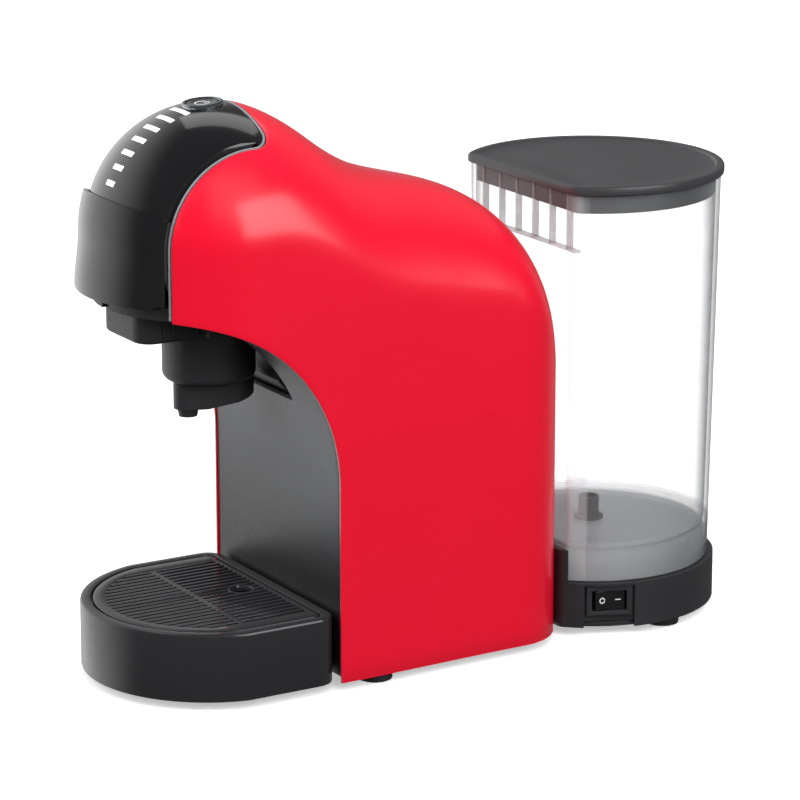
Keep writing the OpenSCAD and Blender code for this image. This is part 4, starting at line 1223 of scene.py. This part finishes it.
# Levels from the inside of the skirt round the plate's edge to the rim, then down into the
# sunk top: inset in mm, height.
plate_low, skirt_low, sunk_z = tank_high.z, lid_low.z, lid_high.z - 1.15 * mm
lid_levels = [(lid_ring(inset * mm), z) for inset, z in (
    (4.6, skirt_low + 3 * mm), (4.6, skirt_low + 0.2 * mm), (4.4, skirt_low), (4.2, skirt_low),
    (4.0, skirt_low + 0.3 * mm), (4.0, plate_low), (0.6, plate_low), (0.1, plate_low + 0.3 * mm),
    (0, plate_low + 0.8 * mm), (0, lid_high.z - 1.1 * mm), (0.25, lid_high.z - 0.4 * mm), (0.8, lid_high.z))]
sunk_levels = [(sunk_ring(inset * mm), z) for inset, z in (
    (0, lid_high.z), (0.35, lid_high.z - 0.15 * mm), (1.1, lid_high.z - 1.0 * mm), (1.6, sunk_z))]
sunk_levels += [([(mix(x, lid_centre.x, k / 6), mix(y, lid_centre.y, k / 6)) for x, y in sunk_levels[-1][0]],
                 sunk_z) for k in range(1, 6)]
lid = tower("lid_plate", lid_levels + sunk_levels)
# Painted light: this satin black is made paler than the other satin black parts, standing in for light from
# above on the lid.
lid_satin = moulded("lid_satin", (50, 50, 52), (60, 60, 62), 0.03, 0.001, (0.3, 0.38), (3, 3), IOR=1.5)
lid_satin.bump(lid_satin.noise(0.0004, 1), 0.000006)
dress(lid, lid_satin, "lid", "black_gloss", "tank_lid")

# ---------- Dock and switch ----------
# Satin black base that the tank stands on, with the mains switch sunk into its side and the
# lead's bush at the back.
satin_copy("tank_base", "tank_dock", 0.5 * mm, "housing")
satin_copy("switch_frame", "switch_bezel", 0.25 * mm, "housing")
dress(softened("switch_key", "rocker", 0.3 * mm), black_gloss, "switch_rocker", "black_gloss", "rocker")
rubber = moulded("rubber", (30, 30, 31), (40, 40, 41), 0.004, 0.0015, (0.6, 0.75), IOR=1.45)
dress(softened("lead_bush", "cord_bush", 0.3 * mm), rubber, "housing", "rubber_black", "cord_bush")
dress(softened("foot_pads", "feet", 0.5 * mm), rubber, "housing", "rubber_black", "feet")

# Ring and bar marks printed on the two halves of the rocker.
rock_joint = next(j for j in frame["joints"] if j["name"] == "switch_rock")
rock_spot = Vector(rock_joint["pos_m"])
rock_turn = math.atan2(rock_spot.y - tank_y, rock_spot.x) + math.radians(rock_joint["range_deg"][1]) / 2
valley, face_rise, face_reach = 2.9 * mm, 0.5 * mm, 7.4 * mm
half_stroke, sign_low, sign_high = 0.28 * mm, -0.15 * mm, 0.06 * mm
ring_middle, ring_sign_r = -3.9 * mm, 1.2 * mm


def on_rocker(across, up, height):
    """Spot on the rocker's face, at a distance to the rear of its middle, raised by height."""
    out = valley + face_rise * abs(across) / face_reach + height
    return rock_spot + Vector((out * math.cos(rock_turn) - across * math.sin(rock_turn),
                               out * math.sin(rock_turn) + across * math.cos(rock_turn), up))


def ink_strip(spots):
    """Strip through spots of (across, up, direction of the stroke) on the rocker."""
    rows = []
    for across, up, t in spots:
        aside, rise = -math.sin(t) * half_stroke, math.cos(t) * half_stroke
        rows.append([on_rocker(across + s * aside, up + s * rise, h) for s, h in (
            (-1, sign_low), (-1, sign_high), (1, sign_high), (1, sign_low))])
    return skin("strip", rows, wrap=True, caps=True)


ring_turns = [2 * math.pi * k / 24 for k in range(25)]
switch_signs = merged("switch_marks", [
    ink_strip([(ring_middle + ring_sign_r * math.cos(t), ring_sign_r * math.sin(t), t + math.pi / 2)
               for t in ring_turns]),
    ink_strip([(across * mm, 0, 0) for across in (2.6, 3.9, 5.2)])])
dress(switch_signs, white_ink, "switch_rocker", "light_white")

# ---------- Inner parts ----------
# Pump on rubber mounts, flow meter, relief valve, die-cast heater with its thermostat, hoses
# and the control board, all screwed to the base plate under the hood.
cast_block = moulded("cast_block", (168, 171, 175), (188, 190, 194), 0.004, 0.001, (0.42, 0.6), (4, 3),
                     Metallic=1.0)
cast_block.bump(cast_block.noise(0.0012, 3), 0.00003)
brass = moulded("brass", (188, 152, 74), (204, 170, 92), 0.003, 0.001, (0.2, 0.32), Metallic=1.0)
hose_silicone = moulded("hose_silicone", (222, 222, 214), (234, 234, 228), 0.01, 0.002, (0.4, 0.55), IOR=1.41)
board = moulded("board_green", (20, 78, 44), (30, 96, 56), 0.003, 0.002, (0.3, 0.45), (4, 2), IOR=1.5)
coat(cast_block, "thermoblock")
coat(brass, "relief_valve")
coat(hose_silicone, "inlet_hose", "pressure_hose", "brew_hose")
coat(board, "control_board", "led_board")
coat(steel_satin, "pump")
coat(rubber, "pump_mounts")
coat(black_satin, "base_plate", "dock_socket")
